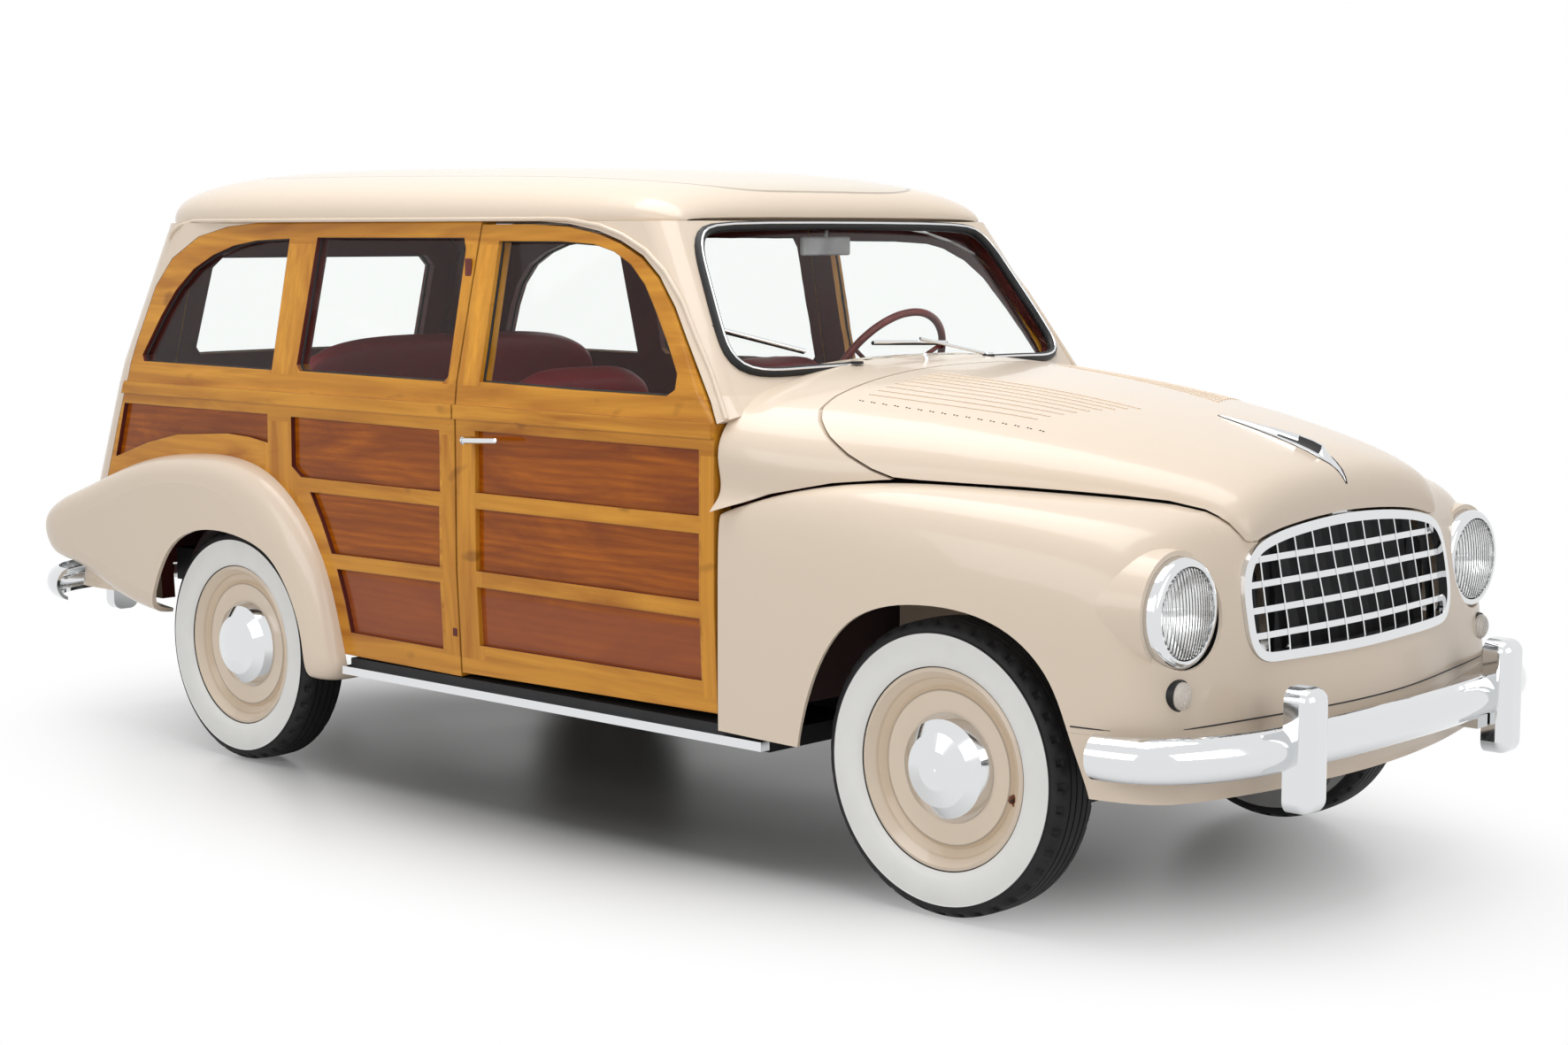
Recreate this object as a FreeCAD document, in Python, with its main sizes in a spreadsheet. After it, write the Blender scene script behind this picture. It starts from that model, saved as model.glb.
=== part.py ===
import FreeCAD
import Part
import Sketcher
import math
import os

# Two door station wagon with a wood framed body, from about 1950.
# X points forward, Y to the car's left, Z up. The origin lies on the ground
# under the middle of the car. All lengths are in millimetres.

Vec = FreeCAD.Vector
doc = FreeCAD.newDocument("station_wagon")

# Driving dimensions

SIZES = [
    ("overall_length", 4240.0),
    ("body_half_width", 702.0),
    ("overall_height", 1596.0),
    ("front_axle_x", 1370.0),
    ("wheelbase", 2420.0),
    ("front_track_half", 628.0),
    ("rear_track_half", 655.0),
    ("tyre_radius", 314.0),
    ("tyre_width", 138.0),
    ("rim_radius", 213.0),
    ("disc_radius", 172.0),
    ("hubcap_radius", 116.0),
    ("hubcap_depth", 52.0),
    ("rim_sheet", 8.0),
    ("hub_bore", 34.0),
    ("hub_clearance", 0.06),
    ("wood_wall", 42.0),
    ("panel_recess", 13.0),
    ("panel_board", 18.0),
    ("steel_skin", 11.0),
    ("roof_skin", 24.0),
    ("glass_pane", 5.0),
    ("glass_recess", 16.0),
    ("belt_proud", 11.0),
    ("shut_gap", 5.5),
    ("piece_gap", 0.4),
    ("door_axis_x", 737.0),
    ("door_axis_y", 716.0),
    ("door_reach", 886.0),
    ("door_swing_radius", 153.0),
    ("arch_inner_y", 560.0),
    ("wheelhouse_radius", 356.0),
    ("wheelhouse_skin", 7.0),
    ("floor_top", 402.0),
    ("floor_sheet", 14.0),
    ("load_floor_top", 640.0),
    ("wing_top", 684.0),
    ("wing_sheet", 6.0),
    ("rail_half_spread", 338.0),
    ("rail_width", 60.0),
    ("rail_depth", 96.0),
    ("rail_bottom", 291.0),
    ("tow_eye_radius", 29.0),
    ("tow_eye_bore", 11.0),
    ("tow_eye_sheet", 14.0),
    ("sill_height", 44.0),
    ("sill_bottom", 282.0),
    ("axle_tube_radius", 36.0),
    ("diff_radius", 118.0),
    ("spring_width", 45.0),
    ("spring_stack", 34.0),
    ("spring_half_length", 560.0),
    ("kingpin_radius", 15.0),
    ("kingpin_inset", 108.0),
    ("kingpin_height", 210.0),
    ("spindle_radius", 33.94),
    ("engine_length", 560.0),
    ("engine_width", 330.0),
    ("engine_height", 500.0),
    ("engine_front_x", 1640.0),
    ("radiator_thickness", 48.0),
    ("radiator_width", 440.0),
    ("radiator_height", 380.0),
    ("exhaust_radius", 20.0),
    ("exhaust_y", 222.0),
    ("exhaust_z", 245.0),
    ("silencer_radius", 58.0),
    ("bonnet_rest_half_width", 30.0),
    ("bonnet_rest_length", 22.0),
    ("hatch_axis_x", -1622.0),
    ("hatch_axis_z", 1429.0),
    ("hatch_pin_radius", 5.0),
    ("hatch_sleeve_radius", 9.0),
    ("hatch_sleeve_half", 22.0),
    ("bracket_half_width", 22.0),
    ("bracket_height", 40.0),
    ("lamp_radius", 111.0),
    ("lens_radius", 93.0),
    ("lamp_y", 580.0),
    ("lamp_z", 682.0),
    ("lamp_depth", 70.0),
    ("lamp_ring_proud", 30.0),
    ("lamp_pod_length", 108.0),
    ("lamp_pod_flare", 9.0),
    ("lens_crown", 14.0),
    ("park_radius", 30.0),
    ("park_y", 606.0),
    ("park_z", 524.0),
    ("park_depth", 60.0),
    ("park_proud", 20.0),
    ("grille_wall", 20.0),
    ("grille_bar", 13.0),
    ("grille_depth", 15.0),
    ("grille_proud", 7.0),
    ("upright_sheet", 5.0),
    ("upright_depth", 20.0),
    ("bumper_radius", 46.0),
    ("bumper_wall", 10.0),
    ("front_bumper_z", 410.0),
    ("rear_bumper_z", 405.0),
    ("overrider_y", 408.0),
    ("overrider_width", 84.0),
    ("overrider_depth", 62.0),
    ("overrider_round", 28.0),
    ("overrider_height", 252.0),
    ("wiper_blade_radius", 4.5),
    ("wiper_knob_radius", 11.0),
    ("mirror_half_width", 88.0),
    ("mirror_height", 46.0),
    ("mirror_thickness", 14.0),
    ("handle_radius", 7.0),
    ("handle_reach", 32.0),
    ("tail_lamp_radius", 36.0),
    ("steering_wheel_radius", 205.0),
    ("steering_rim_radius", 10.0),
    ("steering_y", 345.0),
    ("steering_x", 330.0),
    ("steering_z", 1040.0),
    ("steering_column_radius", 19.0),
    ("seat_half_width", 235.0),
    ("cut_overrun", 60.0),
]

sheet = doc.addObject("Spreadsheet::Sheet", "sizes")
for row, (alias, number) in enumerate(SIZES, start=1):
    sheet.set("A%d" % row, alias)
    sheet.set("B%d" % row, str(number))
    sheet.setAlias("B%d" % row, alias)
doc.recompute()


def size(alias):
    return float(sheet.get(alias))


LENGTH = size("overall_length")
HALF = size("body_half_width")
HEIGHT = size("overall_height")
FRONT_X = size("front_axle_x")
REAR_X = FRONT_X - size("wheelbase")
WALL = size("wood_wall")
SKIN = size("steel_skin")
GAP = size("shut_gap")
SEAT_GAP = size("piece_gap")
OVER = size("cut_overrun")
TYRE_R = size("tyre_radius")
TYRE_W = size("tyre_width")

NODES = []

# Outline tables: every x is a share of the overall length, every y a share of
# the body's half width and every z a share of the overall height.


def px(share):
    return share * LENGTH


def py(share):
    return share * HALF


def pz(share):
    return share * HEIGHT


def xz_points(shares, y=0.0):
    return [Vec(px(a), y, pz(b)) for a, b in shares]


def yz_points(shares, x=0.0):
    return [Vec(x, py(a), pz(b)) for a, b in shares]


def xy_points(shares, z=0.0):
    return [Vec(px(a), py(b), z) for a, b in shares]


# Small building helpers


def spline(points, closed=False):
    curve = Part.BSplineCurve()
    if closed:
        curve.interpolate(points, PeriodicFlag=True)
    else:
        curve.interpolate(points)
    return curve.toShape()


def polygon(points):
    return Part.makePolygon(points + [points[0]])


def prism(points, direction):
    return Part.Face(polygon(points)).extrude(direction)


def side_prism(shares, y_low, y_high):
    points = [Vec(px(a), y_low, pz(b)) for a, b in shares]
    return prism(points, Vec(0, y_high - y_low, 0))


def end_prism(shares, x_low, x_high):
    points = [Vec(x_low, py(a), pz(b)) for a, b in shares]
    return prism(points, Vec(x_high - x_low, 0, 0))


def rounded(points, radius, direction):
    wire = polygon(points)
    body = Part.Face(wire).extrude(direction)
    along = Vec(direction)
    along.normalize()
    edges = []
    for edge in body.Edges:
        start, end = edge.Vertexes[0].Point, edge.Vertexes[-1].Point
        run = end - start
        if abs(run.dot(along)) > 0.99 * run.Length:
            edges.append(edge)
    return body.makeFillet(radius, edges)


def block(x_low, x_high, y_low, y_high, z_low, z_high):
    return Part.makeBox(x_high - x_low, y_high - y_low, z_high - z_low, Vec(x_low, y_low, z_low))


def closed_skin(outer_rows, inner_rows):
    outer = Part.BSplineSurface()
    outer.interpolate(outer_rows)
    inner = Part.BSplineSurface()
    inner.interpolate(inner_rows)
    u_low, u_high, v_low, v_high = outer.bounds()
    pairs = [
        (outer.uIso(u_low), inner.uIso(u_low)),
        (outer.uIso(u_high), inner.uIso(u_high)),
        (outer.vIso(v_low), inner.vIso(v_low)),
        (outer.vIso(v_high), inner.vIso(v_high)),
    ]
    faces = [outer.toShape(), inner.toShape()]
    for a, b in pairs:
        faces.append(Part.makeRuledSurface(a.toShape(), b.toShape()))
    shell = Part.makeShell(faces)
    shell.sewShape()
    solid = Part.makeSolid(shell)
    if solid.Volume < 0:
        solid.reverse()
    return solid


def mirrored(shape):
    return shape.mirror(Vec(0, 0, 0), Vec(0, 1, 0))


def solids_only(shape):
    parts = [s for s in shape.Solids]
    if len(parts) == 1:
        return parts[0]
    return Part.makeCompound(parts)


def biggest(shape):
    return max(shape.Solids, key=lambda s: s.Volume)


def rod(start, end, radius):
    run = end - start
    return Part.makeCylinder(radius, run.Length, start, run)


def tube(start, end, radius, wall):
    run = end - start
    outer = Part.makeCylinder(radius, run.Length, start, run)
    return outer.cut(Part.makeCylinder(radius - wall, run.Length, start, run))


def node(label, shape):
    item = doc.addObject("Part::Feature", label)
    item.Label = label
    item.Shape = solids_only(shape)
    item.Placement = FreeCAD.Placement()
    NODES.append(item)
    return item


def primitive(kind, label, place, **bound):
    item = doc.addObject("Part::" + kind, label)
    item.Label = label
    for prop, expression in bound.items():
        item.setExpression(prop, expression)
    item.Placement = place
    return item


# Cabin: horizontal outlines joined level by level

CABIN_LEVEL_shares = [
    (0.188, 0.9801, 0.2123, -0.4363, -0.4599), (0.3759, 1, 0.2123, -0.4104, -0.4481),
    (0.6266, 0.9972, 0.2042, -0.3726, -0.4104), (0.6642, 0.9872, 0.1922, -0.3684, -0.4061),
    (0.9073, 0.8675, 0.1179, -0.3396, -0.3769),
]
# Each level: height, half width, front at the middle, rear end of the
# straight side, rear at the middle.
CORNER_share = 0.157
NOSE_CORNER_share = 0.09
NOSE_SAG_shares = [0.020, 0.020, 0.020, 0.020, 0.0045]
CORNER_SET_share = 0.29


def level_outline(row, sag_share, inset):
    z_share, y_share, nose_share, side_share, tail_share = row
    z = pz(z_share)
    y = py(y_share) - inset
    nose = px(nose_share) - inset
    tail = px(tail_share) + inset
    corner = py(CORNER_share) - inset * CORNER_SET_share
    tail_side = px(side_share) - corner + inset * (1 - CORNER_SET_share)
    side_end = tail_side + corner
    front = py(NOSE_CORNER_share)
    nose_side = nose - px(sag_share)
    side_start = nose_side - front
    turn = math.sqrt(0.5)
    edges = []

    def arc(a, b, c):
        edges.append(Part.Arc(a, b, c).toShape())

    def bend(centre_x, centre_y, radius, sx, sy):
        return Vec(centre_x + sx * radius * turn, centre_y + sy * radius * turn, z)

    a = Vec(nose_side, -(y - front), z)
    b = Vec(nose_side, y - front, z)
    arc(a, Vec(nose, 0, z), b)
    c = Vec(side_start, y, z)
    arc(b, bend(side_start, y - front, front, 1, 1), c)
    d = Vec(side_end, y, z)
    edges.append(Part.makeLine(c, d))
    e = Vec(tail_side, y - corner, z)
    arc(d, bend(side_end, y - corner, corner, -1, 1), e)
    f = Vec(tail_side, -(y - corner), z)
    arc(e, Vec(tail, 0, z), f)
    g = Vec(side_end, -y, z)
    arc(f, bend(side_end, -(y - corner), corner, -1, -1), g)
    h = Vec(side_start, -y, z)
    edges.append(Part.makeLine(g, h))
    arc(h, bend(side_start, -(y - front), front, 1, -1), a)
    return Part.Wire(edges)


def cabin_body(inset):
    wires = []
    for row, sag in zip(CABIN_LEVEL_shares, NOSE_SAG_shares):
        wires.append(level_outline(row, sag, inset))
    return Part.makeLoft(wires, True, True)


cabin_outer = cabin_body(0.0)
cabin_inner = cabin_body(WALL)
cabin_wall = cabin_outer.cut(cabin_inner)

# Roof: cross sections along the car, each a crown from gutter to gutter.
# Each station: x, half width, gutter height, crown height.

ROOF_shares = [
    (0.1137, 0.755, 0.9073, 0.9135), (0.1108, 0.7977, 0.9073, 0.9348),
    (0.1026, 0.8333, 0.9073, 0.9536), (0.0825, 0.8547, 0.9073, 0.9712),
    (0.0354, 0.8718, 0.9073, 0.9856), (-0.059, 0.8789, 0.9073, 0.995),
    (-0.2123, 0.8789, 0.9073, 1), (-0.2948, 0.8718, 0.9073, 0.9975),
    (-0.342, 0.8333, 0.9073, 0.9881), (-0.3679, 0.7621, 0.9073, 0.9699),
    (-0.3797, 0.6695, 0.9073, 0.943), (-0.384, 0.5983, 0.9073, 0.9198),
]
ROOF_CROWN_share = 2.9
ROOF_ROWS = 17


def crown_row(x, half, low, top, power, rows):
    points = []
    for i in range(rows):
        angle = math.pi * i / (rows - 1)
        c, s = math.cos(angle), math.sin(angle)
        y = -half * math.copysign(abs(c) ** (2.0 / power), c)
        z = low + (top - low) * max(s, 0.0) ** (2.0 / power)
        points.append(Vec(x, y, z))
    points[0] = Vec(x, -half, low)
    points[-1] = Vec(x, half, low)
    return points


def roof_rows(inset):
    rows = []
    middle = px(ROOF_shares[0][0] + ROOF_shares[-1][0]) / 2
    reach = px(ROOF_shares[0][0] - ROOF_shares[-1][0]) / 2
    for x_share, y_share, low_share, top_share in ROOF_shares:
        x = middle + (px(x_share) - middle) * (reach - inset) / reach
        low = pz(low_share) + SEAT_GAP
        top = max(pz(top_share) - inset, low + SEAT_GAP)
        rows.append(crown_row(x, py(y_share) - inset, low, top, ROOF_CROWN_share, ROOF_ROWS))
    return rows


node("roof", closed_skin(roof_rows(0.0), roof_rows(size("roof_skin"))))

# Front fenders and nose: upright sections placed along a plan path that runs
# from the door forward, round the lamp corner and across the nose.
# Base path: x, y at the widest line. Crest path: x, y, z where the bonnet meets.

BASE_shares = [
    (0.1751, 1, 0.1974), (0.2123, 1.0199, 0.1974), (0.2594, 1.0385, 0.1974),
    (0.3184, 1.0484, 0.1974), (0.3656, 1.0484, 0.1974), (0.4009, 1.037, 0.1974),
    (0.4245, 1.0142, 0.1974), (0.4401, 0.9687, 0.1955), (0.4486, 0.8832, 0.193),
    (0.4538, 0.755, 0.1911), (0.4585, 0.5983, 0.1898), (0.4637, 0.3989, 0.1892),
    (0.4675, 0.1994, 0.1892), (0.4689, 0, 0.1892),
]
CREST_shares = [
    (0.1751, 0.9829, 0.5013), (0.2075, 0.9687, 0.5301), (0.2453, 0.933, 0.5514),
    (0.283, 0.8689, 0.5602), (0.316, 0.8262, 0.5608), (0.3443, 0.7863, 0.5595),
    (0.3703, 0.7336, 0.557), (0.3939, 0.6809, 0.5539), (0.4151, 0.6339, 0.5495),
    (0.4316, 0.5912, 0.5414), (0.4425, 0.5385, 0.5301), (0.4465, 0.3704, 0.5313),
    (0.4472, 0.1852, 0.5363), (0.4472, 0, 0.5376),
]
# Section shapes: height share against inset share, for a side and for the nose.
RISE_shares = [0.0, 0.15, 0.35, 0.58, 0.74, 0.85, 0.925, 0.972, 0.993, 1.0]
SIDE_IN_shares = [0.05, 0.01, 0.0, 0.01, 0.06, 0.16, 0.32, 0.54, 0.77, 1.0]
NOSE_IN_shares = [0.03, -0.09, 0.02, 0.36, 0.60, 0.76, 0.86, 0.94, 0.98, 1.0]
NOSE_BLEND_shares = [0.0, 0.0, 0.0, 0.0, 0.0, 0.0, 0.02, 0.08, 0.22, 0.45, 0.70, 0.9, 1.0, 1.0]


FRONT_SECTIONS = 41


def both_sides(shares):
    right = [Vec(px(a), -py(b), pz(c)) for a, b, c in shares]
    return right + [Vec(p.x, -p.y, p.z) for p in right[-2::-1]]


def between(values, place):
    i = min(int(place), len(values) - 2)
    part = place - i
    return values[i] * (1 - part) + values[i + 1] * part


def front_rows(proud, deep):
    base, crest = both_sides(BASE_shares), both_sides(CREST_shares)
    blend = NOSE_BLEND_shares + NOSE_BLEND_shares[-2::-1]
    base_line, crest_line = Part.BSplineCurve(), Part.BSplineCurve()
    base_line.interpolate(base)
    crest_line.interpolate(crest)
    base_at = [base_line.parameter(p) for p in base]
    crest_at = [crest_line.parameter(p) for p in crest]
    run = [0.0]
    for i in range(1, len(base)):
        run.append(run[-1] + (base[i] - base[i - 1]).Length + (crest[i] - crest[i - 1]).Length / 2)
    outer_rows, inner_rows = [], []
    for k in range(FRONT_SECTIONS):
        aim = run[-1] * k / (FRONT_SECTIONS - 1)
        i = max(j for j in range(len(run) - 1) if run[j] <= aim)
        place = i + (aim - run[i]) / (run[i + 1] - run[i])
        low = base_line.value(between(base_at, place))
        high = crest_line.value(between(crest_at, place))
        mix = between(blend, place)
        outer = []
        for rise, side_in, nose_in in zip(RISE_shares, SIDE_IN_shares, NOSE_IN_shares):
            inward = side_in * (1 - mix) + nose_in * mix
            x = low.x + (high.x - low.x) * inward
            y = low.y + (high.y - low.y) * inward
            outer.append(Vec(x, y, low.z + (high.z - low.z) * rise))
        flat = Vec(high.x - low.x, high.y - low.y, 0)
        flat.normalize()
        face, back = [], []
        last = len(outer) - 1
        for i, point in enumerate(outer):
            step = outer[min(i + 1, last)] - outer[max(i - 1, 0)]
            along = step.dot(flat)
            span = math.hypot(along, step.z)
            inward = flat * (step.z / span) - Vec(0, 0, along / span)
            face.append(point - inward * proud)
            back.append(point + inward * deep)
        outer_rows.append(face)
        inner_rows.append(back)
    return outer_rows, inner_rows


front_shell = closed_skin(*front_rows(0.0, SKIN))

# Bonnet and scuttle: crowned cross sections along the car.
# Each station: x, half width, shoulder height, crown height.

HOOD_shares = [
    (0.1651, 1, 0.5827, 0.7093), (0.1934, 0.9929, 0.5733, 0.7043),
    (0.2241, 0.9687, 0.5639, 0.6986), (0.2594, 0.9117, 0.5595, 0.6898),
    (0.2948, 0.8561, 0.5589, 0.6792), (0.3302, 0.8077, 0.5583, 0.6648),
    (0.3656, 0.7436, 0.5564, 0.6466), (0.3962, 0.6781, 0.5514, 0.6278),
    (0.4198, 0.6239, 0.5439, 0.6109), (0.4363, 0.5869, 0.5345, 0.5946),
    (0.4439, 0.5698, 0.5263, 0.5821), (0.4481, 0.5527, 0.5175, 0.5683),
    (0.4504, 0.5356, 0.5107, 0.5514), (0.4507, 0.5214, 0.505, 0.5263),
    (0.4507, 0.5157, 0.4856, 0.505),
]
HOOD_CROWN_share = 2.35
HOOD_BASE_share = 0.47
HOOD_ROWS = 19


def hood_rows(inset):
    rows = []
    first, last = px(HOOD_shares[0][0]), px(HOOD_shares[-1][0])
    base = pz(HOOD_BASE_share)
    for x_share, y_share, low_share, top_share in HOOD_shares:
        x = first + (px(x_share) - first) * (last - inset - first) / (last - first)
        half, low = py(y_share) - inset, pz(low_share)
        crown = crown_row(x, half, low, pz(top_share) - inset, HOOD_CROWN_share, HOOD_ROWS)
        foot = [Vec(x, -half, base), Vec(x, -half, (base + low) / 2)]
        rows.append(foot + crown + [Vec(x, half, (base + low) / 2), Vec(x, half, base)])
    return rows


def hood_block():
    top = Part.BSplineSurface()
    rows = hood_rows(0.0)
    top.interpolate(rows)
    u_low, u_high, v_low, v_high = top.bounds()
    front, rear = top.uIso(u_high).toShape(), top.uIso(u_low).toShape()
    left, right = top.vIso(v_high).toShape(), top.vIso(v_low).toShape()
    caps = []
    for edge, row in ((front, rows[-1]), (rear, rows[0])):
        caps.append(Part.makeRuledSurface(edge, Part.makeLine(row[0], row[-1])))
    floor = Part.makeRuledSurface(left, right)
    shell = Part.makeShell([top.toShape(), floor] + caps)
    shell.sewShape()
    solid = Part.makeSolid(shell)
    if solid.Volume < 0:
        solid.reverse()
    return solid


hood_shell = closed_skin(hood_rows(0.0), hood_rows(SKIN))
hood_solid = hood_block()

# The bonnet's edge seen from the side, from the scuttle down to the grille.
BONNET_EDGE_shares = [
    (0.2186, 0.7832), (0.2186, 0.6654), (0.2208, 0.6516), (0.2269, 0.6378), (0.2382, 0.6172),
    (0.2524, 0.5952), (0.2665, 0.5777), (0.2783, 0.5677), (0.2925, 0.5658), (0.3443, 0.5639),
    (0.3703, 0.5614), (0.3939, 0.5583), (0.4151, 0.5539), (0.4316, 0.5448), (0.4375, 0.5376),
    (0.4427, 0.5288), (0.4462, 0.5179), (0.4488, 0.5072), (0.4506, 0.5053), (0.4552, 0.5044),
    (0.4693, 0.5044), (0.4693, 0.7832),
]
SCUTTLE_EDGE_shares = [
    (0.1651, 0.7832), (0.2173, 0.7832), (0.2173, 0.6642), (0.2196, 0.6491), (0.2259, 0.6347),
    (0.2373, 0.614), (0.2514, 0.5921), (0.2656, 0.5746), (0.2774, 0.5645), (0.2712, 0.563),
    (0.2453, 0.5558), (0.2075, 0.5351), (0.1751, 0.5063), (0.1751, 0.5639), (0.1751, 0.6269),
    (0.1685, 0.6544), (0.1651, 0.6679),
]

bonnet_zone = side_prism(BONNET_EDGE_shares, -HALF - OVER, HALF + OVER)
scuttle_zone = side_prism(SCUTTLE_EDGE_shares, -HALF - OVER, HALF + OVER)
scuttle = hood_shell.common(scuttle_zone)

# Front wheel arches, lamp holes, grille opening and the split lines

ARCH_RISE_share = 0.0
FRONT_ARCH_shares = [
    (0.2344, 0.1253), (0.2354, 0.1924), (0.2413, 0.255), (0.2533, 0.3246), (0.271, 0.3772),
    (0.2936, 0.4048), (0.3193, 0.4148), (0.3465, 0.4123), (0.3731, 0.3916), (0.3941, 0.3452),
    (0.4061, 0.2801), (0.4116, 0.2381), (0.4222, 0.1253),
]
GRILLE_shares = [
    (-0.4701, 0.3528), (-0.2422, 0.3515), (0, 0.3509), (0.2422, 0.3515), (0.4701, 0.3528),
    (0.5413, 0.3603), (0.5755, 0.3791), (0.5869, 0.4073), (0.5869, 0.4386), (0.5726, 0.4687),
    (0.5299, 0.4931), (0.4416, 0.5081), (0.3276, 0.5157), (0.1709, 0.5213), (0, 0.5235),
    (-0.1709, 0.5213), (-0.3276, 0.5157), (-0.4416, 0.5081), (-0.5299, 0.4931), (-0.5726, 0.4687),
    (-0.5869, 0.4386), (-0.5869, 0.4073), (-0.5755, 0.3791), (-0.5413, 0.3603),
]
SEAM_shares = [
    (-1.1396, 0.2807), (-0.8547, 0.2763), (-0.5698, 0.2694), (-0.2137, 0.2632), (0.2137, 0.2632),
    (0.5698, 0.2694), (0.8547, 0.2763), (1.1396, 0.2807), (1.1396, 0.1253), (-1.1396, 0.1253),
]
NOSE_SPLIT_share = 0.64


def closed_spline_prism(points, direction):
    wire = Part.Wire([spline(points, True)])
    return Part.Face(wire).extrude(direction)


def spline_side_prism(shares, y_low, y_high):
    points = [Vec(px(a), y_low, pz(b)) for a, b in shares]
    top = spline(points)
    wire = Part.Wire([top, Part.makeLine(points[-1], points[0])])
    return Part.Face(wire).extrude(Vec(0, y_high - y_low, 0))


whole_front = front_shell
arch_cut = spline_side_prism(FRONT_ARCH_shares, -HALF - OVER, HALF + OVER)
front_shell = front_shell.cut(arch_cut)
grille_start = px(CREST_shares[-1][0]) - OVER


def grille_prism(inset):
    points = yz_points(GRILLE_shares, grille_start)
    moved = []
    for i, point in enumerate(points):
        run = points[(i + 1) % len(points)] - points[i - 1]
        run.normalize()
        moved.append(point + Vec(0, -run.z, run.y) * inset)
    return closed_spline_prism(moved, Vec(OVER + OVER + OVER, 0, 0))


front_shell = front_shell.cut(grille_prism(0.0))
bonnet_skin = hood_shell.common(bonnet_zone).cut(grille_prism(-GAP))
node("bonnet", biggest(bonnet_skin))
seam_x = px(BASE_shares[5][0])
apron_zone = end_prism(SEAM_shares, seam_x - OVER, LENGTH / 2)
apron_front = front_shell.common(apron_zone)
seam_zone = apron_zone.copy()
seam_zone.translate(Vec(0, 0, SEAT_GAP))
front_upper = front_shell.cut(seam_zone)
LAMP_FACE_shares = [
    0.4486,
]
lamp_x, lamp_z = px(LAMP_FACE_shares[0]), size("lamp_z")
pod_run, pod_r = size("lamp_pod_length"), size("lamp_radius") + SEAT_GAP + SKIN
pod_start = lamp_x - size("lamp_ring_proud") - pod_run
FORWARD = Vec(1, 0, 0)
for side in (-1, 1):
    pod_base = Vec(pod_start, side * size("lamp_y"), lamp_z)
    flared = pod_r + size("lamp_pod_flare")
    pod = Part.makeCone(flared, pod_r, pod_run, pod_base, FORWARD)
    front_upper = front_upper.fuse(pod.cut(Part.makeCone(flared - SKIN, pod_r - SKIN, pod_run, pod_base, FORWARD)))
    lamp_hole = Part.makeCylinder(pod_r - SKIN, LENGTH, pod_base, FORWARD)
    front_upper = front_upper.cut(lamp_hole)

# The bonnet's front end lies flush in the fenders
front_zone = block(px(CREST_shares[8][0]), LENGTH / 2, -HALF, HALF, 0, HEIGHT).common(bonnet_zone)
front_zone.translate(Vec(0, 0, -GAP))
front_upper = front_upper.cut(front_zone)

split_y = py(NOSE_SPLIT_share)
nose_zone = block(px(CREST_shares[7][0]), LENGTH / 2, -split_y, split_y, 0, HEIGHT)
nose_panel = front_upper.common(nose_zone)

nose_panel = biggest(nose_panel)
node("nose_panel", nose_panel)
half_zone = block(0, LENGTH / 2, SEAT_GAP, HALF + OVER, 0, HEIGHT)
fenders = front_upper.cut(nose_zone)
fender_left = biggest(fenders.common(half_zone))

# Inner wings: a shelf over each front wheel on a wall that stands on the rail
WING_shares = [
    0.2288, 0.4057,
]
wing_x0, wing_x1 = px(WING_shares[0]), px(WING_shares[1])
wing_y, wing_top, wing_t = size("rail_half_spread"), size("wing_top"), size("wing_sheet")
rail_top = size("rail_bottom") + size("rail_depth")
shelf = block(wing_x0, wing_x1, wing_y, HALF + HALF, wing_top - wing_t, wing_top).cut(whole_front)
shelf = min(shelf.Solids, key=lambda part: part.CenterOfMass.y)
wall = block(wing_x0, wing_x1, wing_y, wing_y + wing_t, rail_top, wing_top)
arm_half = size("rail_width") / 2 + GAP
arm_top = TYRE_R + size("kingpin_height") / 2 + arm_half
wall = wall.cut(block(FRONT_X - arm_half, FRONT_X + arm_half, 0, HALF, 0, arm_top))
fender_left = fender_left.fuse([shelf, wall])
fender_left = biggest(fender_left)
node("front_fenders", Part.makeCompound([fender_left, mirrored(fender_left)]))

# Cabin zones seen from the side: door, wood side, windscreen frame, tail

DOOR_TOP_shares = [
    (-0.0943, 0.9023), (0.0085, 0.9029), (0.0384, 0.8991), (0.0637, 0.8885), (0.0825, 0.8747),
    (0.1014, 0.8534), (0.1167, 0.8246), (0.1309, 0.7832), (0.1427, 0.7393), (0.1568, 0.6873),
    (0.1663, 0.6516), (0.1724, 0.6266), (0.1724, 0.2193), (-0.0943, 0.2118),
]
FRAME_LINE_shares = [
    (-0.4009, 0.907), (0.0142, 0.907), (0.0392, 0.9032), (0.0646, 0.8925), (0.0833, 0.8788),
    (0.1024, 0.8575), (0.1179, 0.828), (0.1321, 0.786), (0.1439, 0.7419), (0.158, 0.6898),
    (0.1675, 0.6544), (0.1737, 0.6266), (0.1737, 0.2005), (-0.4009, 0.188),
]
SIDE_WOOD_shares = [
    (-0.0283, 0.907), (-0.25, 0.907), (-0.283, 0.9004), (-0.3137, 0.8835), (-0.3396, 0.8459),
    (-0.3538, 0.797), (-0.3653, 0.7005), (-0.371, 0.6353), (-0.384, 0.5514), (-0.3986, 0.4486),
    (-0.3774, 0.4624), (-0.3538, 0.4825), (-0.2948, 0.5013), (-0.2406, 0.4975), (-0.2099, 0.4712),
    (-0.1851, 0.4167), (-0.1663, 0.3383), (-0.1509, 0.2093), (-0.0283, 0.2068),
]
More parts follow.
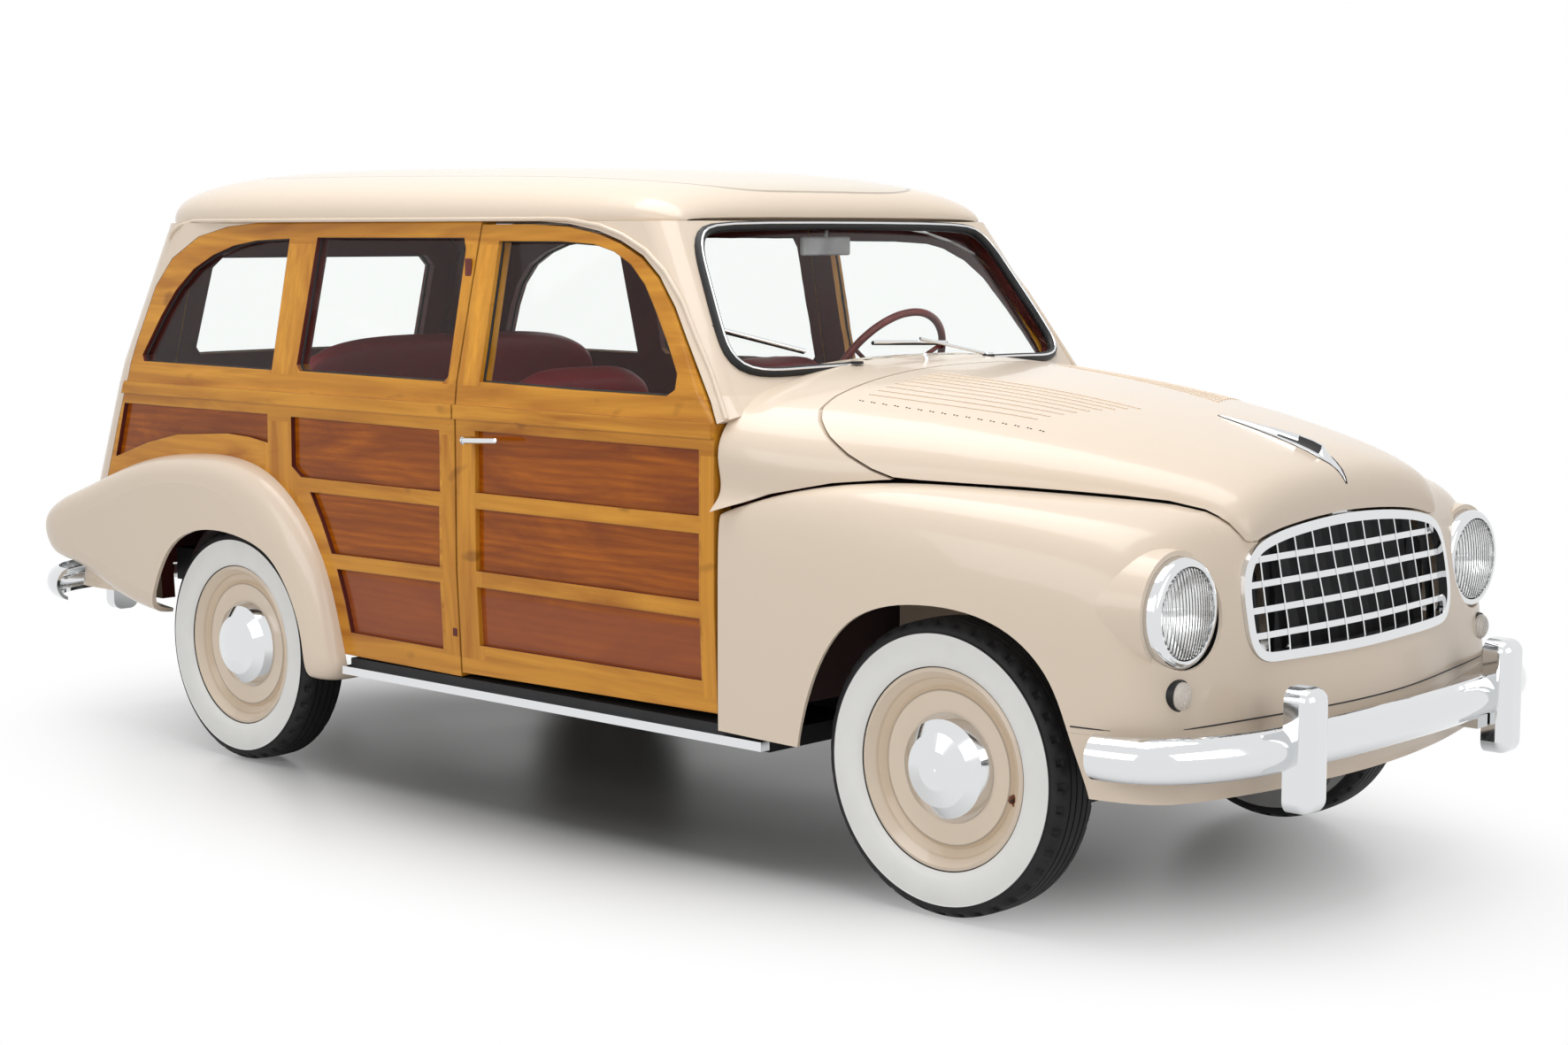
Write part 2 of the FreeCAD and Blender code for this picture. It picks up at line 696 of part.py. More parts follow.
DOOR_WINDOW_shares = [
    (-0.016, 0.6654), (-0.0172, 0.8772), (0.0354, 0.8772), (0.0618, 0.8734), (0.079, 0.8628),
    (0.0939, 0.8446), (0.1073, 0.8158), (0.1186, 0.7788), (0.1321, 0.7306), (0.1415, 0.6924),
    (0.1415, 0.6704), (0.1356, 0.661), (0.0639, 0.6617),
]
MID_WINDOW_shares = [
    (-0.1875, 0.8822), (-0.0483, 0.8822), (-0.0453, 0.8647), (-0.0439, 0.6704), (-0.0472, 0.6623),
    (-0.1851, 0.6654), (-0.1887, 0.6754),
]
QUARTER_WINDOW_shares = [
    (-0.2134, 0.6642), (-0.2156, 0.8803), (-0.2493, 0.8772), (-0.2736, 0.8684), (-0.2948, 0.8521),
    (-0.3137, 0.8283), (-0.3302, 0.7907), (-0.342, 0.7469), (-0.3566, 0.6779), (-0.3538, 0.6667),
]
# Dark boards: the openings in the side frame
SIDE_BOARD_shares = [
    [
    (-0.375, 0.5915), (-0.2165, 0.5915), (-0.2165, 0.5439), (-0.2358, 0.5508), (-0.2594, 0.5533),
    (-0.3149, 0.5439), (-0.3491, 0.5251), (-0.3868, 0.495),
],
    [
    (-0.1922, 0.5902), (-0.05, 0.5877), (-0.05, 0.4925), (-0.1828, 0.4925), (-0.1887, 0.5025),
    (-0.1922, 0.5088),
],
    [
    (-0.1741, 0.4693), (-0.0509, 0.4693), (-0.0509, 0.3753), (-0.1533, 0.3728), (-0.1627, 0.4211),
],
    [
    (-0.1491, 0.3484), (-0.0514, 0.3509), (-0.0514, 0.2456), (-0.1387, 0.2469), (-0.1427, 0.2945),
],
]
DOOR_BOARD_shares = [
    [
    (-0.0184, 0.5909), (0.1613, 0.5896), (0.1613, 0.4969), (-0.0184, 0.4969),
],
    [
    (-0.0184, 0.4718), (0.1613, 0.4718), (0.1613, 0.3766), (-0.0184, 0.3766),
],
    [
    (-0.0184, 0.3515), (0.1613, 0.3515), (0.1613, 0.2632), (-0.0184, 0.2607),
],
]
BELT_shares = [
    (-0.4245, 0.6096), (0.1724, 0.6059), (0.1724, 0.6284), (-0.4245, 0.6316),
]

side_slab = (-HALF - OVER, -HALF * 0.5)
outer_slab = (-HALF - OVER, HALF + OVER)


def slab_prism(shares):
    return side_prism(shares, -HALF - OVER, -HALF / 2)


recess_body = cabin_body(size("panel_recess"))
board_back = cabin_body(size("panel_recess") + size("panel_board"))
board_layer = recess_body.cut(board_back)
belt_body = cabin_body(-size("belt_proud"))
belt_layer = belt_body.cut(cabin_body(size("panel_recess")))
glass_front = cabin_body(size("glass_recess"))
glass_back = cabin_body(size("glass_recess") + size("glass_pane"))
glass_layer = glass_front.cut(glass_back)


def swing_cylinder(radius):
    centre = Vec(size("door_axis_x"), -size("door_axis_y"), 0)
    return Part.makeCylinder(radius, HEIGHT + OVER, centre, Vec(0, 0, 1))


door_zone = slab_prism(DOOR_TOP_shares).common(swing_cylinder(size("door_reach")))
door_hole = slab_prism(FRAME_LINE_shares).common(swing_cylinder(size("door_reach") + GAP))
wood_right = cabin_wall.common(slab_prism(SIDE_WOOD_shares)).cut(door_hole)
belt_right = belt_layer.common(slab_prism(BELT_shares))
belt_side = belt_right.common(slab_prism(SIDE_WOOD_shares)).cut(door_hole)
belt_door = belt_right.common(door_zone)


def grown(shares, inset):
    points = [Vec(px(a), -HALF - OVER, pz(b)) for a, b in shares]
    wire = polygon(points).makeOffset2D(inset, 2)
    return Part.Face(wire).extrude(Vec(0, HALF / 2 + OVER, 0))


windows_side = [MID_WINDOW_shares, QUARTER_WINDOW_shares]
side_frame = wood_right
for shares in windows_side + SIDE_BOARD_shares:
    side_frame = side_frame.cut(slab_prism(shares))
side_frame = side_frame.fuse(belt_side)
side_frame = biggest(side_frame)

door_frame = cabin_wall.common(door_zone)
for shares in [DOOR_WINDOW_shares] + DOOR_BOARD_shares:
    door_frame = door_frame.cut(slab_prism(shares))
door_frame = biggest(door_frame.fuse(belt_door))


def boards(table):
    made = []
    for shares in table:
        made.extend(board_layer.common(slab_prism(shares)).Solids)
    return Part.makeCompound(made)


def panes(table):
    made = []
    for shares in table:
        made.extend(glass_layer.common(slab_prism(shares)).Solids)
    return Part.makeCompound(made)


side_boards = boards(SIDE_BOARD_shares)
door_boards = boards(DOOR_BOARD_shares)
side_glass = panes(windows_side)
door_glass = panes([DOOR_WINDOW_shares])
for label, shape in (
    ("side_frames", side_frame),
    ("side_boards", side_boards),
    ("side_glass", side_glass),
):
    node(label, Part.makeCompound(shape.Solids + mirrored(shape).Solids))
for label, shape in (
    ("door_frame", door_frame),
    ("door_boards", door_boards),
    ("door_glass", door_glass),
):
    node(label + "_right", shape)
    node(label + "_left", mirrored(shape))

# Windscreen frame: the cabin wall ahead of the doors, above the scuttle

SCREEN_shares = [
    (0, 0.7018), (0.4274, 0.6974), (0.698, 0.693), (0.8048, 0.693), (0.8519, 0.708),
    (0.8405, 0.7456), (0.7977, 0.8145), (0.7621, 0.8678), (0.7194, 0.8897), (0.6268, 0.8997),
    (0.3134, 0.906), (0, 0.9073), (-0.3134, 0.906), (-0.6268, 0.8997), (-0.7194, 0.8897),
    (-0.7621, 0.8678), (-0.7977, 0.8145), (-0.8405, 0.7456), (-0.8519, 0.708), (-0.8048, 0.693),
    (-0.698, 0.693), (-0.4274, 0.6974),
]
SCREEN_ZONE_shares = [
    (0.0146, 0.907), (0.0392, 0.9035), (0.0646, 0.8929), (0.0833, 0.8791), (0.1024, 0.8578),
    (0.1179, 0.8283), (0.1321, 0.7863), (0.1439, 0.7422), (0.158, 0.6902), (0.1675, 0.6548),
    (0.1738, 0.6269), (0.1792, 0.6341), (0.1887, 0.6548), (0.2028, 0.6861), (0.2123, 0.9211),
    (0.0146, 0.9211),
]
screen_zone = side_prism(SCREEN_ZONE_shares, -HALF - OVER, HALF + OVER)
screen_wall = cabin_wall.common(screen_zone)
screen_hole = closed_spline_prism(yz_points(SCREEN_shares, px(0.0)), Vec(LENGTH / 2, 0, 0))
roof_line = block(-LENGTH, LENGTH, -HALF - OVER, HALF + OVER, pz(ROOF_shares[0][2]), HEIGHT + OVER)
screen_frame = screen_wall.cut(screen_hole).cut(roof_line).cut(hood_solid)
scuttle = scuttle.cut(cabin_inner)
node("scuttle", biggest(scuttle))
node("windscreen_frame", screen_frame)
screen_glass = glass_layer.common(screen_zone).common(screen_hole).cut(hood_solid)
node("windscreen", biggest(screen_glass))

# Tail: painted corners and surround, with the hatch opening

TAIL_ZONE_shares = [
    (-0.4953, 0.907), (-0.2509, 0.907), (-0.2835, 0.9007), (-0.3142, 0.8838), (-0.34, 0.8462),
    (-0.3541, 0.7971), (-0.3657, 0.7005), (-0.3713, 0.6353), (-0.3843, 0.5514), (-0.3989, 0.4486),
    (-0.3777, 0.4621), (-0.3538, 0.4821), (-0.3396, 0.4837), (-0.3396, 0.2506), (-0.4953, 0.2506),
]
HATCH_shares = [
    (-0.6923, 0.4386), (0.6923, 0.4386), (0.6923, 0.8521), (0.6125, 0.886), (-0.6125, 0.886),
    (-0.6923, 0.8521),
]
tail_zone = side_prism(TAIL_ZONE_shares, -HALF - OVER, HALF + OVER)
tail_wall = cabin_wall.common(tail_zone)
HATCH_WINDOW_shares = [
    (-0.5698, 0.6704), (0.5698, 0.6704), (0.5983, 0.683), (0.584, 0.8271), (0.5342, 0.8471),
    (-0.5342, 0.8471), (-0.584, 0.8271), (-0.5983, 0.683),
]
HATCH_BOARD_shares = [
    [
    (-0.5912, 0.4793), (-0.0427, 0.4793), (-0.0427, 0.6266), (-0.5912, 0.6266),
],
    [
    (0.0427, 0.4793), (0.5912, 0.4793), (0.5912, 0.6266), (0.0427, 0.6266),
],
]
tail_start, tail_end = px(-0.3), -LENGTH / 2
hatch_points = yz_points(HATCH_shares, tail_start)
hatch_wire = polygon(hatch_points)
hatch_run = Vec(tail_end - tail_start, 0, 0)
hatch_zone = Part.Face(hatch_wire).extrude(hatch_run)
hatch_hole = Part.Face(hatch_wire.makeOffset2D(GAP, 2)).extrude(hatch_run)
tail_shell = tail_wall.cut(hatch_hole).cut([side_frame, mirrored(side_frame)])

hatch_frame = tail_wall.common(hatch_zone)
for shares in [HATCH_WINDOW_shares] + HATCH_BOARD_shares:
    hatch_frame = hatch_frame.cut(end_prism(shares, tail_start, tail_end))
hatch_frame = biggest(hatch_frame)
tail_shell = biggest(tail_shell)
pin_x, pin_z = size("hatch_axis_x"), size("hatch_axis_z")
pin_r, sleeve_r = size("hatch_pin_radius"), size("hatch_sleeve_radius")
sleeve_half = size("hatch_sleeve_half")
HINGE_shares = [
    -0.2279, 0.2279,
]
for share in HINGE_shares:
    y = py(share)
    reach = sleeve_half * 2
    pin = rod(Vec(pin_x, y - reach, pin_z), Vec(pin_x, y + reach, pin_z), pin_r)
    for turn in (-1, 1):
        inner_y, outer_y = y + turn * (sleeve_half + SEAT_GAP), y + turn * reach
        ear = block(
            pin_x - pin_r, pin_x + WALL, min(inner_y, outer_y), max(inner_y, outer_y),
            pin_z - pin_r, pin_z + pin_r,
        )
        pin = pin.fuse(ear)
    tail_shell = tail_shell.fuse(pin)
    sleeve = rod(Vec(pin_x, y - sleeve_half, pin_z), Vec(pin_x, y + sleeve_half, pin_z), sleeve_r)
    leaf = block(
        pin_x - sleeve_r, pin_x - pin_r, y - sleeve_half, y + sleeve_half, pin_z - sleeve_r * 5, pin_z,
    )
    foot_leaf = block(
        pin_x - sleeve_r, pin_x + WALL / 2, y - sleeve_half, y + sleeve_half,
        pin_z - sleeve_r * 5, pin_z - sleeve_r * 4,
    )
    sleeve = sleeve.fuse([leaf, foot_leaf])
    bore = size("hub_clearance") + pin_r
    sleeve = sleeve.cut(rod(Vec(pin_x, y - reach, pin_z), Vec(pin_x, y + reach, pin_z), bore))
    hatch_frame = hatch_frame.fuse(sleeve)
hatch_frame = biggest(hatch_frame)
node("hatch_frame", hatch_frame)
tail_boards = []
for shares in HATCH_BOARD_shares:
    tail_boards.extend(board_layer.common(tail_zone).common(end_prism(shares, tail_start, tail_end)).Solids)
node("hatch_boards", Part.makeCompound(tail_boards))
hatch_pane = glass_layer.common(end_prism(HATCH_WINDOW_shares, tail_start, tail_end)).common(tail_zone)
node("hatch_glass", biggest(hatch_pane))

# Rear fenders: closed side outlines stacked outward into a pressed dome

REAR_FENDER_shares = [
    (-0.1443, 0.1992), (-0.1509, 0.2757), (-0.1623, 0.3634), (-0.184, 0.4386), (-0.2123, 0.49),
    (-0.25, 0.515), (-0.2925, 0.515), (-0.3373, 0.5013), (-0.3821, 0.4687), (-0.4245, 0.4311),
    (-0.454, 0.401), (-0.4682, 0.3634), (-0.4623, 0.3227), (-0.4363, 0.3008), (-0.4009, 0.2757),
    (-0.3679, 0.2475), (-0.3066, 0.2268), (-0.2311, 0.2068),
]
# Each layer: y, and how far the outline has shrunk toward its middle
FENDER_LAYER_shares = [
    (0.7407, 0.015), (0.9117, 0), (1.0043, 0.006), (1.047, 0.03), (1.0741, 0.085), (1.0883, 0.17),
    (1.094, 0.3),
]
FENDER_MIDDLE_shares = [
    (-0.3066, 0.3509),
]
REAR_ARCH_shares = [
    (-0.3349, 0.1566), (-0.3302, 0.2068), (-0.3262, 0.2506), (-0.317, 0.307), (-0.3009, 0.3584),
    (-0.2809, 0.3841), (-0.2564, 0.3935), (-0.2233, 0.386), (-0.2005, 0.3659), (-0.1788, 0.307),
    (-0.1679, 0.2381), (-0.1651, 0.1566),
]


def fender_dome(inset):
    middle = FENDER_MIDDLE_shares[0]
    centre = Vec(px(middle[0]), 0, pz(middle[1]))
    reach = pz(REAR_FENDER_shares[5][1]) - centre.z
    wires = []
    for y_share, shrink in FENDER_LAYER_shares:
        y = -(py(y_share) - inset)
        points = []
        for a, b in REAR_FENDER_shares:
            arm = Vec(px(a), 0, pz(b)) - centre
            length = arm.Length
            scale = (1 - shrink) * (length - inset) / length
            spot = centre + arm * scale
            points.append(Vec(spot.x, y, spot.z))
        wires.append(Part.Wire([spline(points, True)]))
    return Part.makeLoft(wires, True, False, False, 3)


dome_outer = fender_dome(0.0)
dome_inner = fender_dome(SKIN)
dome_inner_open = dome_inner.copy()
rear_arch = spline_side_prism(REAR_ARCH_shares, -HALF - OVER - OVER, -HALF / 2)
rear_fender = dome_outer.cut(dome_inner).cut(rear_arch)
clear_body = cabin_body(-SEAT_GAP)
rear_fender = biggest(rear_fender.cut(clear_body))
node("rear_fenders", Part.makeCompound([rear_fender, mirrored(rear_fender)]))

# Floor, wheelhouses and firewall

floor_top = size("floor_top")
sheet_t = size("floor_sheet")
floor_front = px(0.218)
floor_edge = HALF - WALL - GAP * 3 + SEAT_GAP
step_x = REAR_X + size("wheelhouse_radius") + sheet_t
floor = block(step_x - sheet_t, floor_front, -floor_edge, floor_edge, floor_top - sheet_t, floor_top)
load_top = size("load_floor_top")
tail_x = px(-0.425)
step = block(step_x - sheet_t, step_x, -floor_edge, floor_edge, floor_top - sheet_t, load_top)
load_floor = block(tail_x, step_x, -floor_edge, floor_edge, load_top - sheet_t, load_top)
firewall = block(floor_front - sheet_t, floor_front, -py(0.9), py(0.9), floor_top - sheet_t, pz(0.648))
tunnel_r = 0.8 * size("diff_radius")
floor_pan = floor.fuse([step, load_floor, firewall])
house_r = size("wheelhouse_radius")
house_t = size("wheelhouse_skin")
houses = []
for side in (-1, 1):
    y_in = side * size("arch_inner_y")
    y_out = side * (HALF - SKIN)
    low, high = min(y_in, y_out), max(y_in, y_out)
    outer = Part.makeCylinder(house_r + house_t, high - low, Vec(REAR_X, low, TYRE_R), Vec(0, 1, 0))
    inner_low = low + house_t if side > 0 else low - OVER
    inner_high = high + OVER if side > 0 else high - house_t
    inner = Part.makeCylinder(house_r, inner_high - inner_low, Vec(REAR_X, inner_low, TYRE_R), Vec(0, 1, 0))
    ring = outer.cut(inner)
    ring = ring.common(block(-LENGTH, LENGTH, -HALF - OVER, HALF + OVER, floor_top, HEIGHT))
    houses.append(ring)
    well = block(REAR_X - house_r, REAR_X + house_r, min(y_in, side * LENGTH), max(y_in, side * LENGTH), 0, HEIGHT)
    drum = Part.makeCylinder(house_r, HALF, Vec(REAR_X, min(y_in, y_in + side * HALF), TYRE_R), Vec(0, 1, 0))
    floor_pan = floor_pan.cut(drum.common(well))
floor_pan = floor_pan.fuse(houses)
floor_pan = floor_pan.common(cabin_body(WALL + SEAT_GAP).fuse(block(px(0.15), px(0.3), -HALF, HALF, 0, HEIGHT)))
node("floor_pan", biggest(floor_pan.cut(hood_shell)))

# Chassis rails and cross members

rail_y, rail_w = size("rail_half_spread"), size("rail_width")
rail_low, rail_d = size("rail_bottom"), size("rail_depth")
rail_high = rail_low + rail_d
rail_front, rail_rear = px(0.448), px(-0.436)
kick_z = load_top - sheet_t - SEAT_GAP
frame_parts = []
KICK_shares = [
    -0.1651, -0.2028, -0.3184, -0.3585,
]
for side in (-1, 1):
    y_low = side * rail_y - rail_w / 2
    line = [
        Vec(rail_front, y_low, rail_low), Vec(px(KICK_shares[0]), y_low, rail_low),
        Vec(px(KICK_shares[1]), y_low, kick_z - rail_d), Vec(px(KICK_shares[2]), y_low, kick_z - rail_d),
        Vec(px(KICK_shares[3]), y_low, rail_high), Vec(rail_rear, y_low, rail_high),
        Vec(rail_rear, y_low, rail_high + rail_d), Vec(px(KICK_shares[3]), y_low, rail_high + rail_d),
        Vec(px(KICK_shares[2]), y_low, kick_z), Vec(px(KICK_shares[1]), y_low, kick_z),
        Vec(px(KICK_shares[0]), y_low, rail_high), Vec(rail_front, y_low, rail_high),
    ]
    frame_parts.append(prism(line, Vec(0, rail_w, 0)))
CROSS_shares = [
    0.4434, 0.3302, 0.1179, -0.1179,
]
for share in CROSS_shares:
    x = px(share)
    frame_parts.append(block(x - rail_w, x, -rail_y, rail_y, rail_low, rail_high - sheet_t))
rear_cross = px(-0.4355)
frame_parts.append(block(rear_cross, rear_cross + rail_w, -rail_y, rail_y, rail_high, rail_high + rail_d))
spring_half = size("spring_half_length")
for side in (-1, 1):
    y0, y1 = side * (rail_y + rail_w / 2), side * (rail_y + rail_w / 2 + SEAT_GAP + size("spring_width"))
    y_low, y_high = min(y0, y1), max(y0, y1)
    eye_low = rail_high - size("spring_stack") * 1.5
    front_eye = REAR_X + spring_half + SEAT_GAP
    rear_eye = REAR_X - spring_half - SEAT_GAP
    frame_parts.append(block(front_eye, front_eye + rail_w / 2, y_low, y_high, eye_low, rail_high - sheet_t))
    frame_parts.append(block(rear_eye - rail_w / 2, rear_eye, y_low, y_high, eye_low, rail_high + rail_d / 2))
frame = frame_parts[0].fuse(frame_parts[1:])
eye_r, eye_bore, eye_t = size("tow_eye_radius"), size("tow_eye_bore"), size("tow_eye_sheet")
for eye_x, eye_top in ((px(CROSS_shares[0]) - rail_w / 2, rail_low), (rear_cross + rail_w / 2, rail_high)):
    eye = Vec(eye_x, -eye_t / 2, eye_top - eye_r)
    plate = Part.makeCylinder(eye_r, eye_t, eye, Vec(0, 1, 0))
    plate = plate.fuse(block(eye_x - eye_r, eye_x + eye_r, -eye_t / 2, eye_t / 2, eye.z, eye_top))
    frame = frame.fuse(plate.cut(Part.makeCylinder(eye_bore, eye_t, eye, Vec(0, 1, 0))))
frame = biggest(frame)

# Sills with their bright strip below the doors

sill_low, sill_h = size("sill_bottom"), size("sill_height")
sill_x0, sill_x1 = px(-0.1415), px(0.2085)
sill_out = HALF - SKIN * 1.6
sills = []
strips = []
for side in (-1, 1):
    y0, y1 = side * (rail_y + rail_w / 2), side * sill_out
    body = block(sill_x0, sill_x1, min(y0, y1), max(y0, y1), sill_low, sill_low + sill_h)
    sills.append(body)
    s0, s1 = side * (sill_out + SEAT_GAP), side * (HALF + SKIN)
    strips.append(block(sill_x0, sill_x1, min(s0, s1), max(s0, s1), sill_low + SKIN / 2, sill_low + sill_h * 0.6))
node("sills", Part.makeCompound(sills))
node("sill_strips", Part.makeCompound(strips))

# Engine with gearbox, as one plain mass

engine_x = size("engine_front_x")
engine = primitive(
    "Box", "engine_block",
    FreeCAD.Placement(
        Vec(engine_x - size("engine_length"), -size("engine_width") / 2, rail_high - sheet_t + SEAT_GAP),
        FreeCAD.Rotation(),
    ),
    Length="sizes.engine_length", Width="sizes.engine_width", Height="sizes.engine_height",
)
NODES.append(engine)
rad_t, rad_w = size("radiator_thickness"), size("radiator_width")
radiator = primitive(
    "Box", "radiator",
    FreeCAD.Placement(
        Vec(px(CROSS_shares[0]) - rail_w / 2 - rad_t / 2, -rad_w / 2, rail_high - sheet_t + SEAT_GAP),
        FreeCAD.Rotation(),
    ),
    Length="sizes.radiator_thickness", Width="sizes.radiator_width", Height="sizes.radiator_height",
)
NODES.append(radiator)

# Exhaust: manifold pipe, silencer and tail pipe hung from the cross members

pipe_r, pipe_y, pipe_z = size("exhaust_radius"), size("exhaust_y"), size("exhaust_z")
PIPE_shares = [
    (0.283, 0.2945), (0.2524, 0.1535),
]
SILENCER_shares = [
    -0.0118, -0.1061,
]
TAIL_PIPE_share = -0.4741
port = Vec(px(PIPE_shares[0][0]), size("engine_width") / 2 + SEAT_GAP, pz(PIPE_shares[0][1]))
elbow = Vec(port.x, pipe_y, port.z)
low_bend = Vec(px(PIPE_shares[1][0]), pipe_y, pipe_z)
tail_end_spot = Vec(px(TAIL_PIPE_share), pipe_y, pipe_z)
exhaust = rod(port, elbow, pipe_r).fuse([
    Part.makeSphere(pipe_r, elbow), rod(elbow, low_bend, pipe_r), Part.makeSphere(pipe_r, low_bend),
    rod(low_bend, tail_end_spot, pipe_r),
    rod(Vec(px(SILENCER_shares[0]), pipe_y, pipe_z), Vec(px(SILENCER_shares[1]), pipe_y, pipe_z),
        size("silencer_radius")),
])
for hang_x, hang_top in (
    (px(CROSS_shares[2]) - rail_w / 2, rail_low),
    (px(CROSS_shares[3]) - rail_w / 2, rail_low),
    (rear_cross + rail_w / 2, rail_high),
):
    exhaust = exhaust.fuse(rod(Vec(hang_x, pipe_y, pipe_z), Vec(hang_x, pipe_y, hang_top), pipe_r / 4))
mouth = tail_end_spot + Vec(pipe_r * 3, 0, 0)
exhaust = exhaust.cut(rod(mouth, tail_end_spot, pipe_r * 0.85))
node("exhaust", biggest(exhaust))

# Rear axle, leaf springs and front suspension

hub_y = size("rear_track_half") - TYRE_W / 2
axle = rod(Vec(REAR_X, -hub_y, TYRE_R), Vec(REAR_X, hub_y, TYRE_R), size("axle_tube_radius"))
ball = Part.makeSphere(size("diff_radius"), Vec(REAR_X, 0, TYRE_R))
stub_r = size("spindle_radius")
stub_end = size("rear_track_half") + TYRE_W * 0.18
stubs = rod(Vec(REAR_X, -stub_end, TYRE_R), Vec(REAR_X, stub_end, TYRE_R), stub_r)
rear_axle = axle.fuse([ball, stubs])


def leaf_spring(side):
    y = side * (rail_y + rail_w / 2 + size("spring_width") / 2 + SEAT_GAP)
    y0 = y - size("spring_width") / 2
    seat = TYRE_R + size("axle_tube_radius") * 0.8
    half = size("spring_half_length")
    ends = rail_high - size("spring_stack")
    a0, a1 = Vec(REAR_X - half, y0, ends), Vec(REAR_X + half, y0, ends)
    low_mid = Vec(REAR_X, y0, seat)
    up_mid = Vec(REAR_X, y0, seat + size("spring_stack"))
    leaf_t = size("spring_stack") / 3
    b0, b1 = a0 + Vec(0, 0, leaf_t), a1 + Vec(0, 0, leaf_t)
    edges = [Part.Arc(a0, low_mid, a1).toShape(), Part.makeLine(a1, b1)]
    edges += [Part.Arc(b1, up_mid, b0).toShape(), Part.makeLine(b0, a0)]
    return Part.Face(Part.Wire(edges)).extrude(Vec(0, size("spring_width"), 0))


node("rear_axle", biggest(rear_axle.fuse([leaf_spring(-1), leaf_spring(1)])))

pin_y = size("front_track_half") - size("kingpin_inset")
pin_h = size("kingpin_height")
pin_r = size("kingpin_radius")
pin_fit = size("hub_clearance")
arm_t = rail_w / 2


def front_corner(side):
    pin = Vec(FRONT_X, side * pin_y, TYRE_R)
    low_z, high_z = TYRE_R - pin_h / 2, TYRE_R + pin_h / 2
    post_y0, post_y1 = side * (rail_y - rail_w / 2), side * (pin_y + pin_r * 2)
    y0, y1 = min(post_y0, post_y1), max(post_y0, post_y1)
    lower = block(FRONT_X - arm_t, FRONT_X + arm_t, y0, y1, low_z - arm_t, low_z)
    upper = block(FRONT_X - arm_t, FRONT_X + arm_t, y0, y1, high_z, high_z + arm_t)
    post_z = (side * (rail_y - rail_w / 2), side * (rail_y + rail_w / 2))
    post = block(FRONT_X - arm_t, FRONT_X + arm_t, min(post_z), max(post_z), low_z - arm_t, high_z + arm_t)
    kingpin = rod(pin - Vec(0, 0, pin_h / 2 + arm_t), pin + Vec(0, 0, pin_h / 2 + arm_t), pin_r)
    return [lower, upper, post, kingpin]


corner_parts = front_corner(-1) + front_corner(1)
beam_z = TYRE_R - pin_h / 2 - arm_t
beam = block(FRONT_X - rail_w, FRONT_X + rail_w, -rail_y, rail_y, beam_z, beam_z + arm_t * 2)
suspension = beam.fuse(corner_parts)
node("chassis_frame", biggest(frame.fuse(suspension)))


def knuckle(side):
    pin = Vec(FRONT_X, side * pin_y, TYRE_R)
    sleeve_h = pin_h - GAP * 2
    start = pin - Vec(0, 0, sleeve_h / 2)
    outer = Part.makeCylinder(pin_r * 2, sleeve_h, start)
    bore = Part.makeCylinder(pin_r + pin_fit, sleeve_h, start)
    tip = Vec(FRONT_X, side * (size("front_track_half") + TYRE_W * 0.18), TYRE_R)
    spindle = rod(pin, tip, stub_r)
    return outer.fuse(spindle).cut(bore)


node("knuckle_left", knuckle(1))
node("knuckle_right", knuckle(-1))

# Wheels: turned profiles about the axle. Each profile point is written as
# expressions on the size sheet: radius from the axle, offset along it.


def turned(label, profile, origin, side, rounds=()):
    body = doc.addObject("PartDesign::Body", label)
    body.Label = label
    plane = [f for f in body.Origin.OriginFeatures if f.Role == "XY_Plane"][0]
    sketch = body.newObject("Sketcher::SketchObject", label + "_profile")
    sketch.AttachmentSupport = [(plane, "")]
    sketch.MapMode = "FlatFace"
    values = []
    for radial, axial in profile:
        values.append((evaluated(radial), evaluated(axial)))
    count = len(values)
    for i in range(count):
        a, b = values[i], values[(i + 1) % count]
        sketch.addGeometry(Part.LineSegment(Vec(a[0], a[1], 0), Vec(b[0], b[1], 0)), False)
    for i in range(count):
        sketch.addConstraint(Sketcher.Constraint("Coincident", i, 2, (i + 1) % count, 1))
    for i, (radial, axial) in enumerate(profile):
        index = sketch.addConstraint(Sketcher.Constraint("DistanceX", -1, 1, i, 1, values[i][0]))
        sketch.setExpression("Constraints[%d]" % index, radial)
        index = sketch.addConstraint(Sketcher.Constraint("DistanceY", -1, 1, i, 1, values[i][1]))
        sketch.setExpression("Constraints[%d]" % index, axial)
    turn = body.newObject("PartDesign::Revolution", label + "_turn")
    turn.Profile = sketch
    turn.ReferenceAxis = (sketch, ["V_Axis"])
    turn.Angle = 360.0
    body.Tip = turn
    doc.recompute()
    if rounds:
        picks = []
        for k, edge in enumerate(turn.Shape.Edges, start=1):
            if edge.Curve.TypeId != "Part::GeomCircle":
                continue
            spot = (edge.Curve.Radius, edge.Curve.Center.y)
            for number in rounds:
                aim = values[number]
                if abs(spot[0] - abs(aim[0])) < 0.01 and abs(spot[1] - aim[1]) < 0.01:
                    picks.append("Edge%d" % k)
        fillet = body.newObject("PartDesign::Fillet", label + "_rounds")
        fillet.Base = (turn, picks)
        fillet.setExpression("Radius", "sizes.tyre_width * 0.16")
        body.Tip = fillet
        doc.recompute()
    # The sketch's upright axis becomes the axle, pointing outward
    spin = FreeCAD.Rotation(Vec(0, 0, 1), 0.0 if side > 0 else 180.0)
    body.Placement = FreeCAD.Placement(origin, spin)
    NODES.append(body)
    return body


def evaluated(expression):
    return float(sheet.evalExpression(expression))


